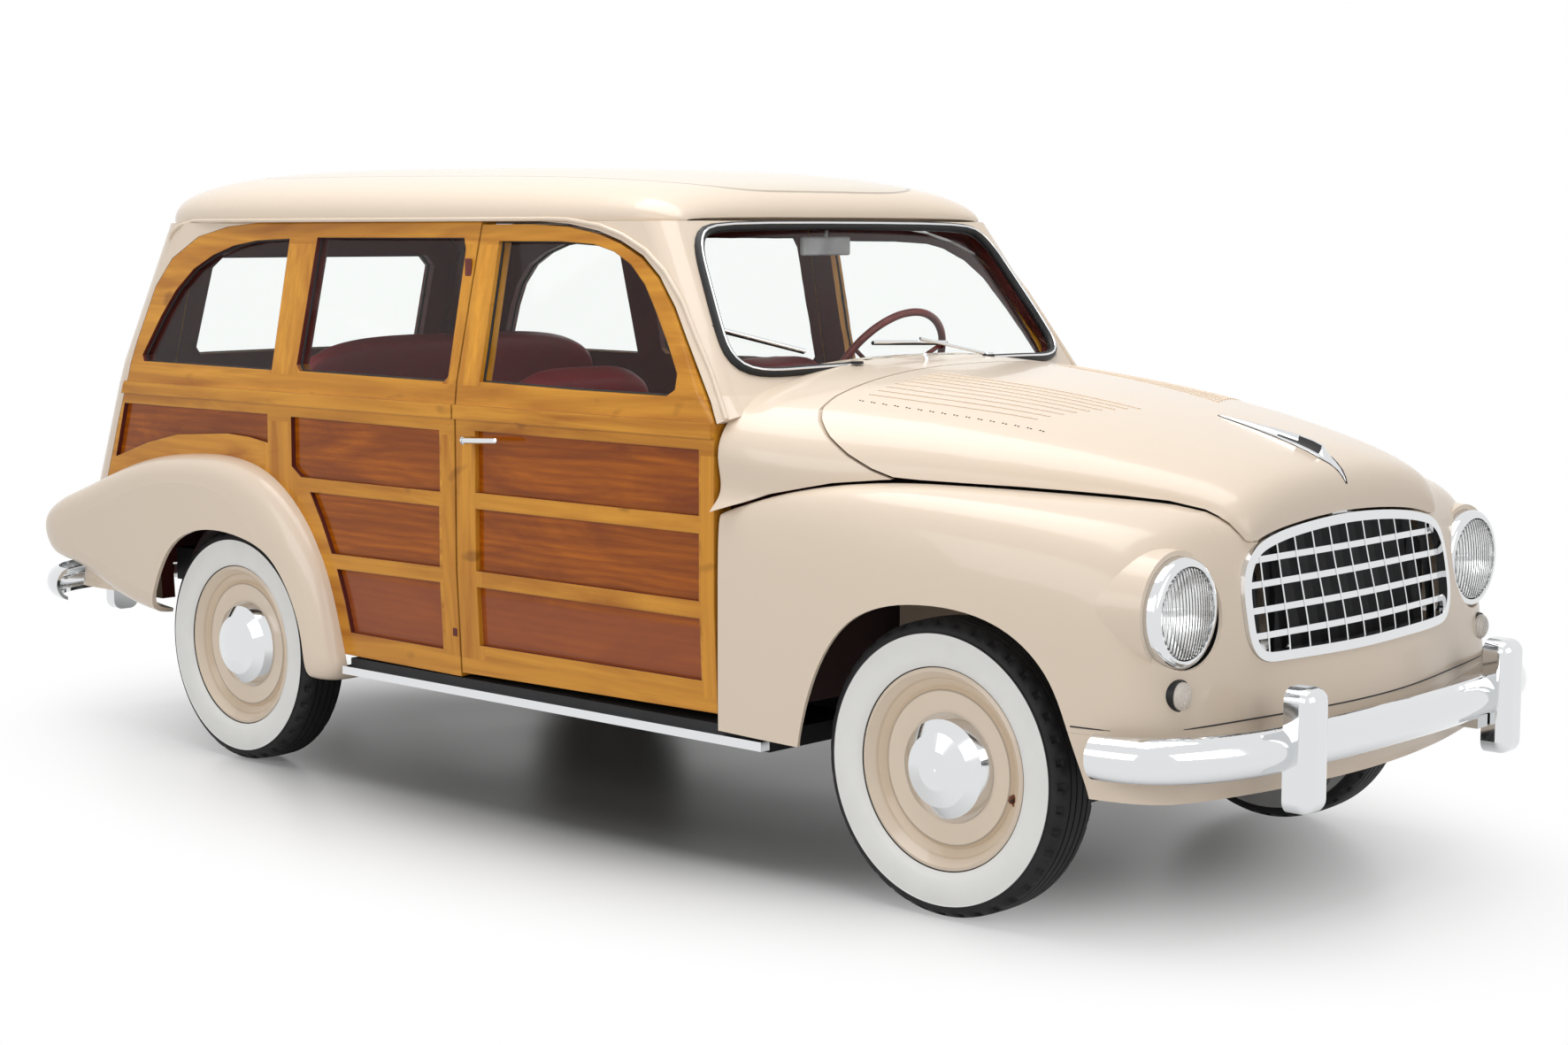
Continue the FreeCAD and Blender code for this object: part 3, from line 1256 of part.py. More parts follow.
TYRE_PROFILE = [
    ("sizes.rim_radius", "-sizes.tyre_width * 0.40"),
    ("sizes.rim_radius + (sizes.tyre_radius - sizes.rim_radius) * 0.45", "-sizes.tyre_width * 0.50"),
    ("sizes.tyre_radius - sizes.tyre_width * 0.12", "-sizes.tyre_width * 0.46"),
    ("sizes.tyre_radius", "-sizes.tyre_width * 0.36"),
    ("sizes.tyre_radius", "sizes.tyre_width * 0.36"),
    ("sizes.tyre_radius - sizes.tyre_width * 0.12", "sizes.tyre_width * 0.46"),
    ("sizes.rim_radius + (sizes.tyre_radius - sizes.rim_radius) * 0.45", "sizes.tyre_width * 0.50"),
    ("sizes.rim_radius", "sizes.tyre_width * 0.40"),
]
WHEEL_PROFILE = [
    ("sizes.spindle_radius + sizes.hub_clearance", "-sizes.tyre_width * 0.10"),
    ("sizes.hubcap_radius", "-sizes.tyre_width * 0.10"),
    ("sizes.disc_radius", "-sizes.tyre_width * 0.02"),
    ("sizes.disc_radius + sizes.rim_sheet", "-sizes.tyre_width * 0.40"),
    ("sizes.rim_radius", "-sizes.tyre_width * 0.40"),
    ("sizes.rim_radius", "sizes.tyre_width * 0.40"),
    ("sizes.rim_radius - sizes.rim_sheet", "sizes.tyre_width * 0.43"),
    ("sizes.disc_radius + sizes.rim_sheet * 2", "sizes.tyre_width * 0.26"),
    ("sizes.disc_radius", "sizes.tyre_width * 0.20"),
    ("sizes.disc_radius - sizes.rim_sheet", "sizes.tyre_width * 0.25"),
    ("sizes.hubcap_radius", "sizes.tyre_width * 0.20"),
    ("sizes.spindle_radius + sizes.hub_clearance", "sizes.tyre_width * 0.18"),
]
HUBCAP_PROFILE = [
    ("sizes.hub_clearance * 0", "sizes.tyre_width * 0.20"),
    ("sizes.hubcap_radius", "sizes.tyre_width * 0.20"),
    ("sizes.hubcap_radius", "sizes.tyre_width * 0.20 + sizes.rim_sheet * 0.6"),
    ("sizes.hubcap_radius * 0.90", "sizes.tyre_width * 0.20 + sizes.hubcap_depth * 0.45"),
    ("sizes.hubcap_radius * 0.68", "sizes.tyre_width * 0.20 + sizes.hubcap_depth * 0.78"),
    ("sizes.hubcap_radius * 0.36", "sizes.tyre_width * 0.20 + sizes.hubcap_depth * 0.96"),
    ("sizes.hub_clearance * 0", "sizes.tyre_width * 0.20 + sizes.hubcap_depth"),
]


wheel_places = (
    ("front_left", FRONT_X, size("front_track_half"), 1),
    ("front_right", FRONT_X, -size("front_track_half"), -1),
    ("rear_left", REAR_X, size("rear_track_half"), 1),
    ("rear_right", REAR_X, -size("rear_track_half"), -1),
)
for name, x, y, side in wheel_places:
    centre = Vec(x, y, TYRE_R)
    turned("tyre_" + name, TYRE_PROFILE, centre, side, rounds=(2, 3, 4, 5))
    turned("wheel_" + name, WHEEL_PROFILE, centre, side)
    turned("hubcap_" + name, HUBCAP_PROFILE, centre, side)

# Lamps

rings = []
lenses = []
ring_wall = size("lamp_radius") - size("lens_radius")
lens_r, crown = size("lens_radius") - SEAT_GAP, size("lens_crown")
ball_r = (lens_r * lens_r + crown * crown) / (crown + crown)
for side in (-1, 1):
    face = Vec(lamp_x, side * size("lamp_y"), lamp_z)
    back = face - Vec(size("lamp_depth"), 0, 0)
    ring = tube(back, face, size("lamp_radius"), ring_wall)
    front_edges = [edge for edge in ring.Edges if edge.BoundBox.XMin > lamp_x - SEAT_GAP
                   and edge.BoundBox.YLength > lens_r + lens_r + ring_wall]
    rings.append(ring.makeFillet(ring_wall * 0.7, front_edges))
    ball = Part.makeSphere(ball_r, face + Vec(crown - ball_r, 0, 0))
    lenses.append(rod(back, face + Vec(crown, 0, 0), lens_r).common(ball))
    feeler = Part.makeLine(Vec(0, side * size("park_y"), size("park_z")), Vec(LENGTH, side * size("park_y"), size("park_z")))
    park_x = whole_front.common(feeler).BoundBox.XMax + size("park_proud")
    park_face = Vec(park_x, side * size("park_y"), size("park_z"))
    park = rod(park_face - Vec(size("park_depth"), 0, 0), park_face, size("park_radius"))
    rim = [edge for edge in park.Edges if edge.BoundBox.XMin > park_x - SEAT_GAP]
    park = park.makeFillet(size("park_radius") * 0.5, rim).cut(whole_front)
    lenses.append(max(park.Solids, key=lambda part: part.CenterOfMass.x))
node("headlamp_rings", Part.makeCompound(rings))
node("lamp_glasses", Part.makeCompound(lenses))

# Grille: arched bright surround, crossbars and recessed uprights, all of them
# bowed like the nose

NOSE_HALF_share = 0.75


def nose_band(proud, deep):
    face, back = front_rows(proud, deep)
    near = [k for k, row in enumerate(face) if abs(row[0].y) < py(NOSE_HALF_share)]
    return closed_skin([face[k] for k in near], [back[k] for k in near])


grille_wall, bar_depth = size("grille_wall"), size("grille_depth")
opening = grille_prism(grille_wall)
surround = nose_band(size("grille_proud"), bar_depth).common(grille_prism(SEAT_GAP).cut(opening))
lattice_zone = grille_prism(grille_wall - SKIN)
BAR_shares = [
    0.386, 0.4179, 0.4499, 0.4806,
]
UPRIGHT_SPAN_share = 0.0962
UPRIGHT_PAIRS = 5
bar_half, sheet_half = size("grille_bar") / 2, size("upright_sheet") / 2
bars = []
for share in BAR_shares:
    bars.append(block(grille_start, LENGTH / 2, -HALF, HALF, pz(share) - bar_half, pz(share) + bar_half).common(lattice_zone))
uprights = []
for i in range(-UPRIGHT_PAIRS, UPRIGHT_PAIRS + 1):
    y = i * py(UPRIGHT_SPAN_share)
    uprights.append(block(grille_start, LENGTH / 2, y - sheet_half, y + sheet_half, 0, HEIGHT).common(lattice_zone))
bar_band = nose_band(-SKIN / 2, bar_depth)
upright_start = bar_depth - SKIN
upright_band = nose_band(-upright_start, upright_start + size("upright_depth"))
lattice = [bar_band.common(bar) for bar in bars] + [upright_band.common(bar) for bar in uprights]
# Bonnet rest: a block on the surround under the bonnet's front edge
REST_shares = [
    (0.4459, 0.5107),
]
rest_x, rest_z = px(REST_shares[0][0]), pz(REST_shares[0][1])
rest_half, rest_run = size("bonnet_rest_half_width"), size("bonnet_rest_length")
feeler = Part.makeLine(Vec(rest_x, 0, rest_z), Vec(rest_x, 0, HEIGHT))
rest_top = hood_shell.common(feeler).BoundBox.ZMin - SEAT_GAP - SEAT_GAP
rest = block(rest_x - rest_run, rest_x, -rest_half, rest_half, rest_z, rest_top)
grille = surround.fuse(lattice + [rest])
node("grille", biggest(grille))

# Bumpers: a half round bar bent along its path, with overriders

FRONT_BAR_shares = [
    (0.4245, -1.0598), (0.4493, -1.0142), (0.4693, -0.8547), (0.48, -0.5812), (0.4844, 0),
    (0.48, 0.5812), (0.4693, 0.8547), (0.4493, 1.0142), (0.4245, 1.0598),
]
REAR_BAR_shares = [
    (-0.4387, -1.047), (-0.4623, -0.9972), (-0.48, -0.8547), (-0.4863, -0.5698), (-0.4882, 0),
    (-0.4863, 0.5698), (-0.48, 0.8547), (-0.4623, 0.9972), (-0.4387, 1.047),
]


def bumper(shares, z, outward):
    points = xy_points(shares, z)
    path = Part.Wire([spline(points)])
    start = points[0]
    tangent = path.Edges[0].tangentAt(path.Edges[0].FirstParameter)
    r, wall = size("bumper_radius"), size("bumper_wall")
    across = tangent.cross(Vec(0, 0, 1))
    across.normalize()
    if across.dot(Vec(outward, 0, 0)) < 0 and across.dot(start) < 0:
        across = across * -1
    if across.y * start.y < 0:
        across = across * -1
    outer = [start + Vec(0, 0, r), start + across * (r * 0.75), start - Vec(0, 0, r)]
    inner = [start - Vec(0, 0, r - wall), start + across * (r * 0.75 - wall), start + Vec(0, 0, r - wall)]
    edges = [Part.Arc(*outer).toShape(), Part.makeLine(outer[2], inner[0])]
    edges += [Part.Arc(*inner).toShape(), Part.makeLine(inner[2], outer[0])]
    section = Part.Wire(edges)
    return path.makePipeShell([section], True, False)


def overrider(x, z, outward, side):
    w, hgt = size("overrider_width"), size("overrider_height")
    r = size("bumper_radius")
    y = side * size("overrider_y")
    low, high = z - hgt / 2, z + hgt / 2
    x0 = x + outward * r * 0.10
    x1 = x0 + outward * size("overrider_depth")
    body = block(min(x0, x1), max(x0, x1), y - w / 2, y + w / 2, low, high)
    rounded = [edge for edge in body.Edges if abs(edge.CenterOfMass.x - x0) > SKIN]
    return body.makeFillet(size("overrider_round"), rounded)


for label, shares, z, outward in (
    ("front", FRONT_BAR_shares, size("front_bumper_z"), 1),
    ("rear", REAR_BAR_shares, size("rear_bumper_z"), -1),
):
    bar = bumper(shares, z, outward)
    bar_x = px(shares[3][0])
    guards = Part.makeCompound([overrider(bar_x, z, outward, -1), overrider(bar_x, z, outward, 1)])
    arms = []
    rail_end = rail_front if outward > 0 else rail_rear
    arm_top = rail_high if outward > 0 else rail_high + size("bracket_height")
    for side in (-1, 1):
        arm_y, arm_x = side * rail_y, bar_x + outward * size("bumper_radius") * 0.5
        near = rail_end + outward * SEAT_GAP
        half_w, arm_low = size("bracket_half_width"), arm_top - size("bracket_height")
        arms.append(block(min(near, arm_x), max(near, arm_x), arm_y - half_w, arm_y + half_w, arm_low, arm_top))
        slot = block(
            min(near, arm_x), max(near, arm_x), arm_y - half_w - GAP, arm_y + half_w + GAP,
            arm_low - GAP, arm_top + GAP,
        )
        if outward > 0:
            apron_front = apron_front.cut(slot)
        else:
            tail_shell = tail_shell.cut(slot)
    node(label + "_bumper", biggest(bar.fuse(guards.Solids + arms)))
node("front_apron", apron_front)
node("tail_shell", biggest(tail_shell))

# Cabin fittings

seat_w = size("seat_half_width")
SEAT_shares = [
    (-0.0047, 0.3509), (0.1038, 0.3697), (0.1061, 0.4386), (0.0047, 0.4323), (-0.0377, 0.6767),
    (-0.066, 0.6579), (-0.0283, 0.3509),
]
REAR_SEAT_shares = [
    (-0.1509, 0.3509), (-0.1321, 0.3509), (-0.1321, 0.448), (-0.2123, 0.4417), (-0.2453, 0.708),
    (-0.2712, 0.6892), (-0.2264, 0.4013), (-0.1509, 0.4013),
]
front_seats = []
for side in (-1, 1):
    y = side * (HALF / 2)
    front_seats.append(side_prism(SEAT_shares, y - seat_w, y + seat_w))
node("front_seats", Part.makeCompound(front_seats))
bench_half = size("arch_inner_y") - house_t - SEAT_GAP
node("rear_seat", side_prism(REAR_SEAT_shares, -bench_half, bench_half))
legs = []
LEG_shares = [
    0.0094, 0.0802,
]
for side in (-1, 1):
    for share in LEG_shares:
        x = px(share)
        y = side * HALF / 2
        legs.append(block(x, x + SKIN * 3, y - seat_w * 0.8, y + seat_w * 0.8, floor_top, pz(0.365)))
seat_legs = Part.makeCompound(legs).cut(front_seats[0]).cut(front_seats[1])
node("seat_frames", seat_legs)

DASH_shares = [
    (0.1321, 0.5639), (0.1415, 0.6516), (0.1509, 0.6704), (0.1792, 0.6704), (0.1792, 0.6391),
    (0.1509, 0.5639),
]
dash_half = HALF - WALL - GAP * 4
dash = side_prism(DASH_shares, -dash_half, dash_half).common(cabin_body(WALL + SEAT_GAP).fuse(
    block(px(0.16), px(0.2), -dash_half, dash_half, 0, HEIGHT)))
dash = dash.cut(hood_shell).cut(cabin_wall)
swing_r = size("door_swing_radius")
for side in (-1, 1):
    post = Vec(size("door_axis_x"), side * size("door_axis_y"), 0)
    dash = dash.cut(Part.makeCylinder(swing_r, HEIGHT, post))
node("dashboard", biggest(dash))

hub = Vec(size("steering_x"), size("steering_y"), size("steering_z"))
COLUMN_FOOT_shares = [
    (0.2205, 0.4292),
]
foot = Vec(px(COLUMN_FOOT_shares[0][0]), hub.y, pz(COLUMN_FOOT_shares[0][1]))
lean_axis = hub - foot
lean_axis.normalize()
rim_r, rim_t = size("steering_wheel_radius"), size("steering_rim_radius")
rim = Part.makeTorus(rim_r, rim_t, hub, lean_axis)
boss = Part.makeCylinder(rim_t * 3, rim_t * 4, hub - lean_axis * (rim_t * 3), lean_axis)
side_dir = Vec(0, 1, 0)
up_dir = lean_axis.cross(side_dir)
spokes = []
for angle in (math.pi / 2, math.pi * 7 / 6, math.pi * 11 / 6):
    out = side_dir * math.cos(angle) + up_dir * math.sin(angle)
    spokes.append(rod(hub - lean_axis * rim_t, hub + out * rim_r, rim_t * 0.6))
steering = rim.fuse([boss] + spokes)
node("steering_wheel", steering)
col_top = hub - lean_axis * (rim_t * 3 + SEAT_GAP)
column = rod(foot, col_top, size("steering_column_radius"))
dash_item = doc.getObject("dashboard")
dash_item.Shape = biggest(dash_item.Shape.cut(rod(foot, col_top, size("steering_column_radius") + SEAT_GAP)))
pan_item = doc.getObject("floor_pan")
column = column.cut(pan_item.Shape)
node("steering_column", biggest(column))

# Wipers, mirror and door handles



def skin_front(y, z):
    line = Part.makeLine(Vec(0, y, z), Vec(LENGTH / 2, y, z))
    return cabin_outer.common(line).BoundBox.XMax


# Each wiper: knob, arm tip, blade ends, as width and height on the screen
WIPER_shares = [
 [
    (-0.3903, 0.7011), (-0.6724, 0.7431), (-0.8818, 0.7607), (-0.537, 0.7206),
],
 [
    (0.3091, 0.7011), (0.0199, 0.7318), (-0.2123, 0.7293), (0.1624, 0.7243),
]]
KNOB_share = 0.1835
blade_r, knob_r = size("wiper_blade_radius"), size("wiper_knob_radius")
wipers = []
for row in WIPER_shares:
    spots = []
    for a, b in row[1:]:
        y, z = py(a), pz(b)
        lift = blade_r * 1.2 if not spots else 0
        spots.append(Vec(skin_front(y, z) - blade_r + lift, y, z))
    knob_y, knob_z = py(row[0][0]), pz(row[0][1])
    knob_foot, knob_top = Vec(px(KNOB_share), knob_y, knob_z - OVER), Vec(px(KNOB_share), knob_y, knob_z + knob_r)
    knob = rod(knob_foot, knob_top, knob_r).cut(hood_solid)
    arm = rod(knob_top - Vec(0, 0, knob_r / 2), spots[0], blade_r * 0.8)
    wiper = knob.fuse([arm, rod(spots[1], spots[2], blade_r)])
    wipers.append(biggest(wiper.cut(scuttle).cut(screen_frame).cut(screen_glass)))
node("wipers", Part.makeCompound(wipers))

MIRROR_shares = [
    (0.0991, 0.0214, 0.869), (0.1024, 0.0214, 0.9649),
]
mirror_half, mirror_h, mirror_t = size("mirror_half_width"), size("mirror_height"), size("mirror_thickness")
middle, top = [Vec(px(a), py(b), pz(c)) for a, b, c in MIRROR_shares]
plate = block(
    middle.x - mirror_t / 2, middle.x + mirror_t / 2, middle.y - mirror_half, middle.y + mirror_half,
    middle.z - mirror_h / 2, middle.z + mirror_h / 2,
)
plate = plate.makeFillet(mirror_t * 0.4, plate.Edges)
roof_item = doc.getObject("roof")
stem = rod(middle, top, mirror_t * 0.3).cut(roof_item.Shape)
stem = min(stem.Solids, key=lambda part: part.CenterOfMass.z)
node("interior_mirror", biggest(plate.fuse(stem)))

HANDLE_shares = [
    (-0.02, 0.5771), (0.0085, 0.5808),
]
handle_r, handle_out = size("handle_radius"), size("handle_reach")
handle_y = HALF + handle_out
boss_spot = Vec(px(HANDLE_shares[0][0]), -handle_y, pz(HANDLE_shares[0][1]))
tip_spot = Vec(px(HANDLE_shares[1][0]), -handle_y, pz(HANDLE_shares[1][1]))
boss = rod(boss_spot + Vec(0, handle_out * 2, 0), boss_spot, handle_r * 1.4).cut(cabin_outer)
grip = rod(boss_spot - Vec(handle_r, 0, 0), tip_spot, handle_r)
handle = biggest(boss.fuse([grip, Part.makeSphere(handle_r, tip_spot), Part.makeSphere(handle_r * 1.4, boss_spot)]))
node("door_handle_right", handle)
node("door_handle_left", mirrored(handle))

lamp_r = size("tail_lamp_radius")
TAIL_LAMP_shares = [
    (-0.4481, -0.8832, 0.3653), (-0.4736, -0.8832, 0.3653),
]
lamp_in, lamp_out = [Vec(px(a), py(b), pz(c)) for a, b, c in TAIL_LAMP_shares]
tail_lamp = rod(lamp_in, lamp_out, lamp_r)
far_edges = [edge for edge in tail_lamp.Edges if abs(edge.BoundBox.XMax - lamp_out.x) < SEAT_GAP]
tail_lamp = tail_lamp.makeFillet(lamp_r * 0.5, far_edges).cut(dome_outer).cut(cabin_outer)
tail_lamp = min(tail_lamp.Solids, key=lambda part: part.CenterOfMass.x)
node("tail_lamps", Part.makeCompound([tail_lamp, mirrored(tail_lamp)]))


# Write each piece

doc.recompute()
os.makedirs("parts", exist_ok=True)
failed = []
for item in doc.Objects:
    if "Invalid" in item.State or "Error" in item.State:
        failed.append(item.Label)
for item in NODES:
    if item.Shape.isNull() or not item.Shape.isValid():
        failed.append(item.Label)
if failed:
    raise RuntimeError("pieces that failed: " + ", ".join(failed))
for item in NODES:
    item.Shape.exportStep("parts/%s.step" % item.Label)
print(len(NODES), "pieces written")
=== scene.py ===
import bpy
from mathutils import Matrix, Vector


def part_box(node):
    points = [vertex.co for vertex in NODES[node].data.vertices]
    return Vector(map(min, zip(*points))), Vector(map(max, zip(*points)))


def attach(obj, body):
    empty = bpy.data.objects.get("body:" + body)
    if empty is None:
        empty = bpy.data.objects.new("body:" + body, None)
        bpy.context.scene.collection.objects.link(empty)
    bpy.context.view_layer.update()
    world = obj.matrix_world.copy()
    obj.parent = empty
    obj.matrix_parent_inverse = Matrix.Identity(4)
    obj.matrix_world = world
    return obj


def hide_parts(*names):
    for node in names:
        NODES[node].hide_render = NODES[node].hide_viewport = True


bl_info = {
    "name": "Wooden Station Wagon",
    "version": (1, 0, 0),
    "blender": (4, 5, 0),
    "location": "View3D > Sidebar > Wagon",
    "description": "Finishes and fittings of a cream two-door wagon with an ash and mahogany body",
    "category": "Object",
}

import math
from contextlib import contextmanager

import bmesh
import bpy
from mathutils import Matrix, Vector
from mathutils.bvhtree import BVHTree

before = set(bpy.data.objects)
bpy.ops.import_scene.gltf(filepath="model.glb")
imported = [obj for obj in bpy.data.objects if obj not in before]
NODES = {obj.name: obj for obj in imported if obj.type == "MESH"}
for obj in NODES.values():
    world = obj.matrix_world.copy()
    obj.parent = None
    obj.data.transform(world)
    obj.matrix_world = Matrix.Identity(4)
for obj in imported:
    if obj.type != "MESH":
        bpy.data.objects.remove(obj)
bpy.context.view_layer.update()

# Places and directions, in metres

FRONT_AXLE = Vector((1.370, 0.0, 0.314))
REAR_AXLE = Vector((-1.050, 0.0, 0.314))
FRONT_HALF_TRACK = Vector((0, 0.628, 0))
REAR_HALF_TRACK = Vector((0, 0.655, 0))
WHEELS = {
    "front_right": FRONT_AXLE - FRONT_HALF_TRACK,
    "front_left": FRONT_AXLE + FRONT_HALF_TRACK,
    "rear_right": REAR_AXLE - REAR_HALF_TRACK,
    "rear_left": REAR_AXLE + REAR_HALF_TRACK,
}
SIDES = ((-1, "right"), (1, "left"))
UP = Vector((0, 0, 1))
DOWN = -UP
AFT = Vector((-1, 0, 0))
FORWARD = (1, 0, 0)
ABOVE_BONNET = 1.4
AHEAD_OF_SCREEN = 1.5
BESIDE_BODY = 1.2
CABIN_MIDDLE = (-0.4, 0.0, 1.0)
TIGHT_MERGE = 0.00002


# Sizes and colours

def colour(title, text, value):
    return bpy.props.FloatVectorProperty(
        name=title, description=text, subtype="COLOR", size=3, min=0.0, max=1.0, default=value)


def length(title, text, value):
    return bpy.props.FloatProperty(
        name=title, description=text, subtype="DISTANCE", unit="LENGTH", min=0.0, default=value)


def angle(title, text, degrees):
    return bpy.props.FloatProperty(
        name=title, description=text, subtype="ANGLE", unit="ROTATION", default=math.radians(degrees))


class WagonFinish(bpy.types.PropertyGroup):
    """Colours of the wagon's paint, timber, leather and rubber"""
    enamel: colour("Enamel", "Cream enamel of the steel panels", (0.720, 0.602, 0.482))
    roof_panel: colour("Roof panel", "Top panel of the roof", (0.640, 0.570, 0.470))
    wheel_ring: colour("Wheel ring", "Tan ring round the wheel disc", (0.560, 0.430, 0.290))
    ash_light: colour("Ash, light", "Pale grain of the lacquered ash", (0.680, 0.305, 0.030))
    ash_dark: colour("Ash, dark", "Dark grain of the lacquered ash", (0.390, 0.130, 0.008))
    board_light: colour("Mahogany, light", "Pale grain of the boards", (0.480, 0.125, 0.003))
    board_dark: colour("Mahogany, dark", "Dark grain of the boards", (0.230, 0.045, 0.002))
    leather: colour("Leather", "Red leather of the seats", (0.205, 0.012, 0.016))
    lining: colour("Lining", "Maroon lining of the cabin", (0.105, 0.020, 0.016))
    rubber: colour("Rubber", "Black rubber of seals and treads", (0.012, 0.012, 0.013))
    whitewall: colour("White wall", "White band of the tyres", (0.780, 0.780, 0.760))


class WagonTrim(bpy.types.PropertyGroup):
    """Sizes of the thin trim that is added to the panels"""
    seal_radius: length("Seal", "Radius of the windscreen rubber", 0.0125)
    bead_radius: length("Bead", "Radius of the bright bead on the rubber", 0.0030)
    gutter_radius: length("Gutter", "Radius of the drip rail over the doors", 0.0055)
    gasket_radius: length("Gasket", "Radius of the rubber round the side and rear panes", 0.0042)
    piping_radius: length("Piping", "Radius of the piping round the seats", 0.0042)
    spear_half: length("Spear", "Half width of the bonnet spear", 0.024)


class WagonStudio(bpy.types.PropertyGroup):
    """Camera and lamps of the plain studio"""
    camera_place: bpy.props.FloatVectorProperty(
        name="Camera", description="Place of the camera", subtype="TRANSLATION", unit="LENGTH", size=3,
        default=(4.659, -4.730, 1.418))
    heading: angle("Heading", "Heading of the camera", 132.691)
    tilt: angle("Tilt", "Tilt of the camera", -6.452)
    lens: bpy.props.FloatProperty(
        name="Lens", description="Focal length of the camera", unit="CAMERA", default=58.62)
    key_power: bpy.props.FloatProperty(
        name="Key", description="Power of the large overhead lamp", unit="POWER", default=225.0)
    side_power: bpy.props.FloatProperty(
        name="Side", description="Power of the long side lamp", unit="POWER", default=122.0)
    sky_level: bpy.props.FloatProperty(
        name="Sky", description="Strength of the even white surround", default=0.33)


# Material building

def toned(shade, factor):
    """A shade made darker or lighter by a factor"""
    return tuple(min(1, part * factor) for part in shade)


def halfway(one, other):
    return tuple((a + b) / 2 for a, b in zip(one, other))


class Nodes:
    """A node tree that grows node by node"""

    def __init__(self, tree):
        self.tree = tree

    def put(self, socket, value):
        """Join another node's output to a socket, or write a number, a vector or a colour on it"""
        if isinstance(value, bpy.types.NodeSocket):
            self.tree.links.new(value, socket)
        elif socket.type == "RGBA":
            socket.default_value = (*value, 1.0)
        else:
            socket.default_value = value

    def add(self, kind, inputs=None, **settings):
        made = self.tree.nodes.new(kind)
        for key, value in settings.items():
            setattr(made, key, value)
        for key, value in (inputs or {}).items():
            self.put(made.inputs[key], value)
        return made

    def math(self, operation, *values):
        return self.add("ShaderNodeMath", dict(enumerate(values)), operation=operation).outputs[0]

    def vector(self, operation, *values):
        return self.add("ShaderNodeVectorMath", dict(enumerate(values)), operation=operation).outputs

    def levels(self, value, low, high, to_low=0.0, to_high=1.0, smooth=False):
        """A value between low and high carried to the span between to_low and to_high"""
        spans = {"Value": value, "From Min": low, "From Max": high, "To Min": to_low, "To Max": to_high}
        kind = "SMOOTHSTEP" if smooth else "LINEAR"
        return self.add("ShaderNodeMapRange", spans, interpolation_type=kind).outputs["Result"]

    def product(self, first, *others):
        for other in others:
            first = self.math("MULTIPLY", first, other)
        return first

    def reach(self, a, b):
        """The length of the line whose two parts are a and b"""
        return self.math("SQRT", self.math("ADD", self.product(a, a), self.product(b, b)))

    def seen(self):
        """1 for rays from the camera, off metal and through glass, else 0"""
        path = self.add("ShaderNodeLightPath").outputs
        direct = self.math("MAXIMUM", path["Is Camera Ray"], path["Is Glossy Ray"])
        return self.math("MAXIMUM", direct, path["Is Transmission Ray"])


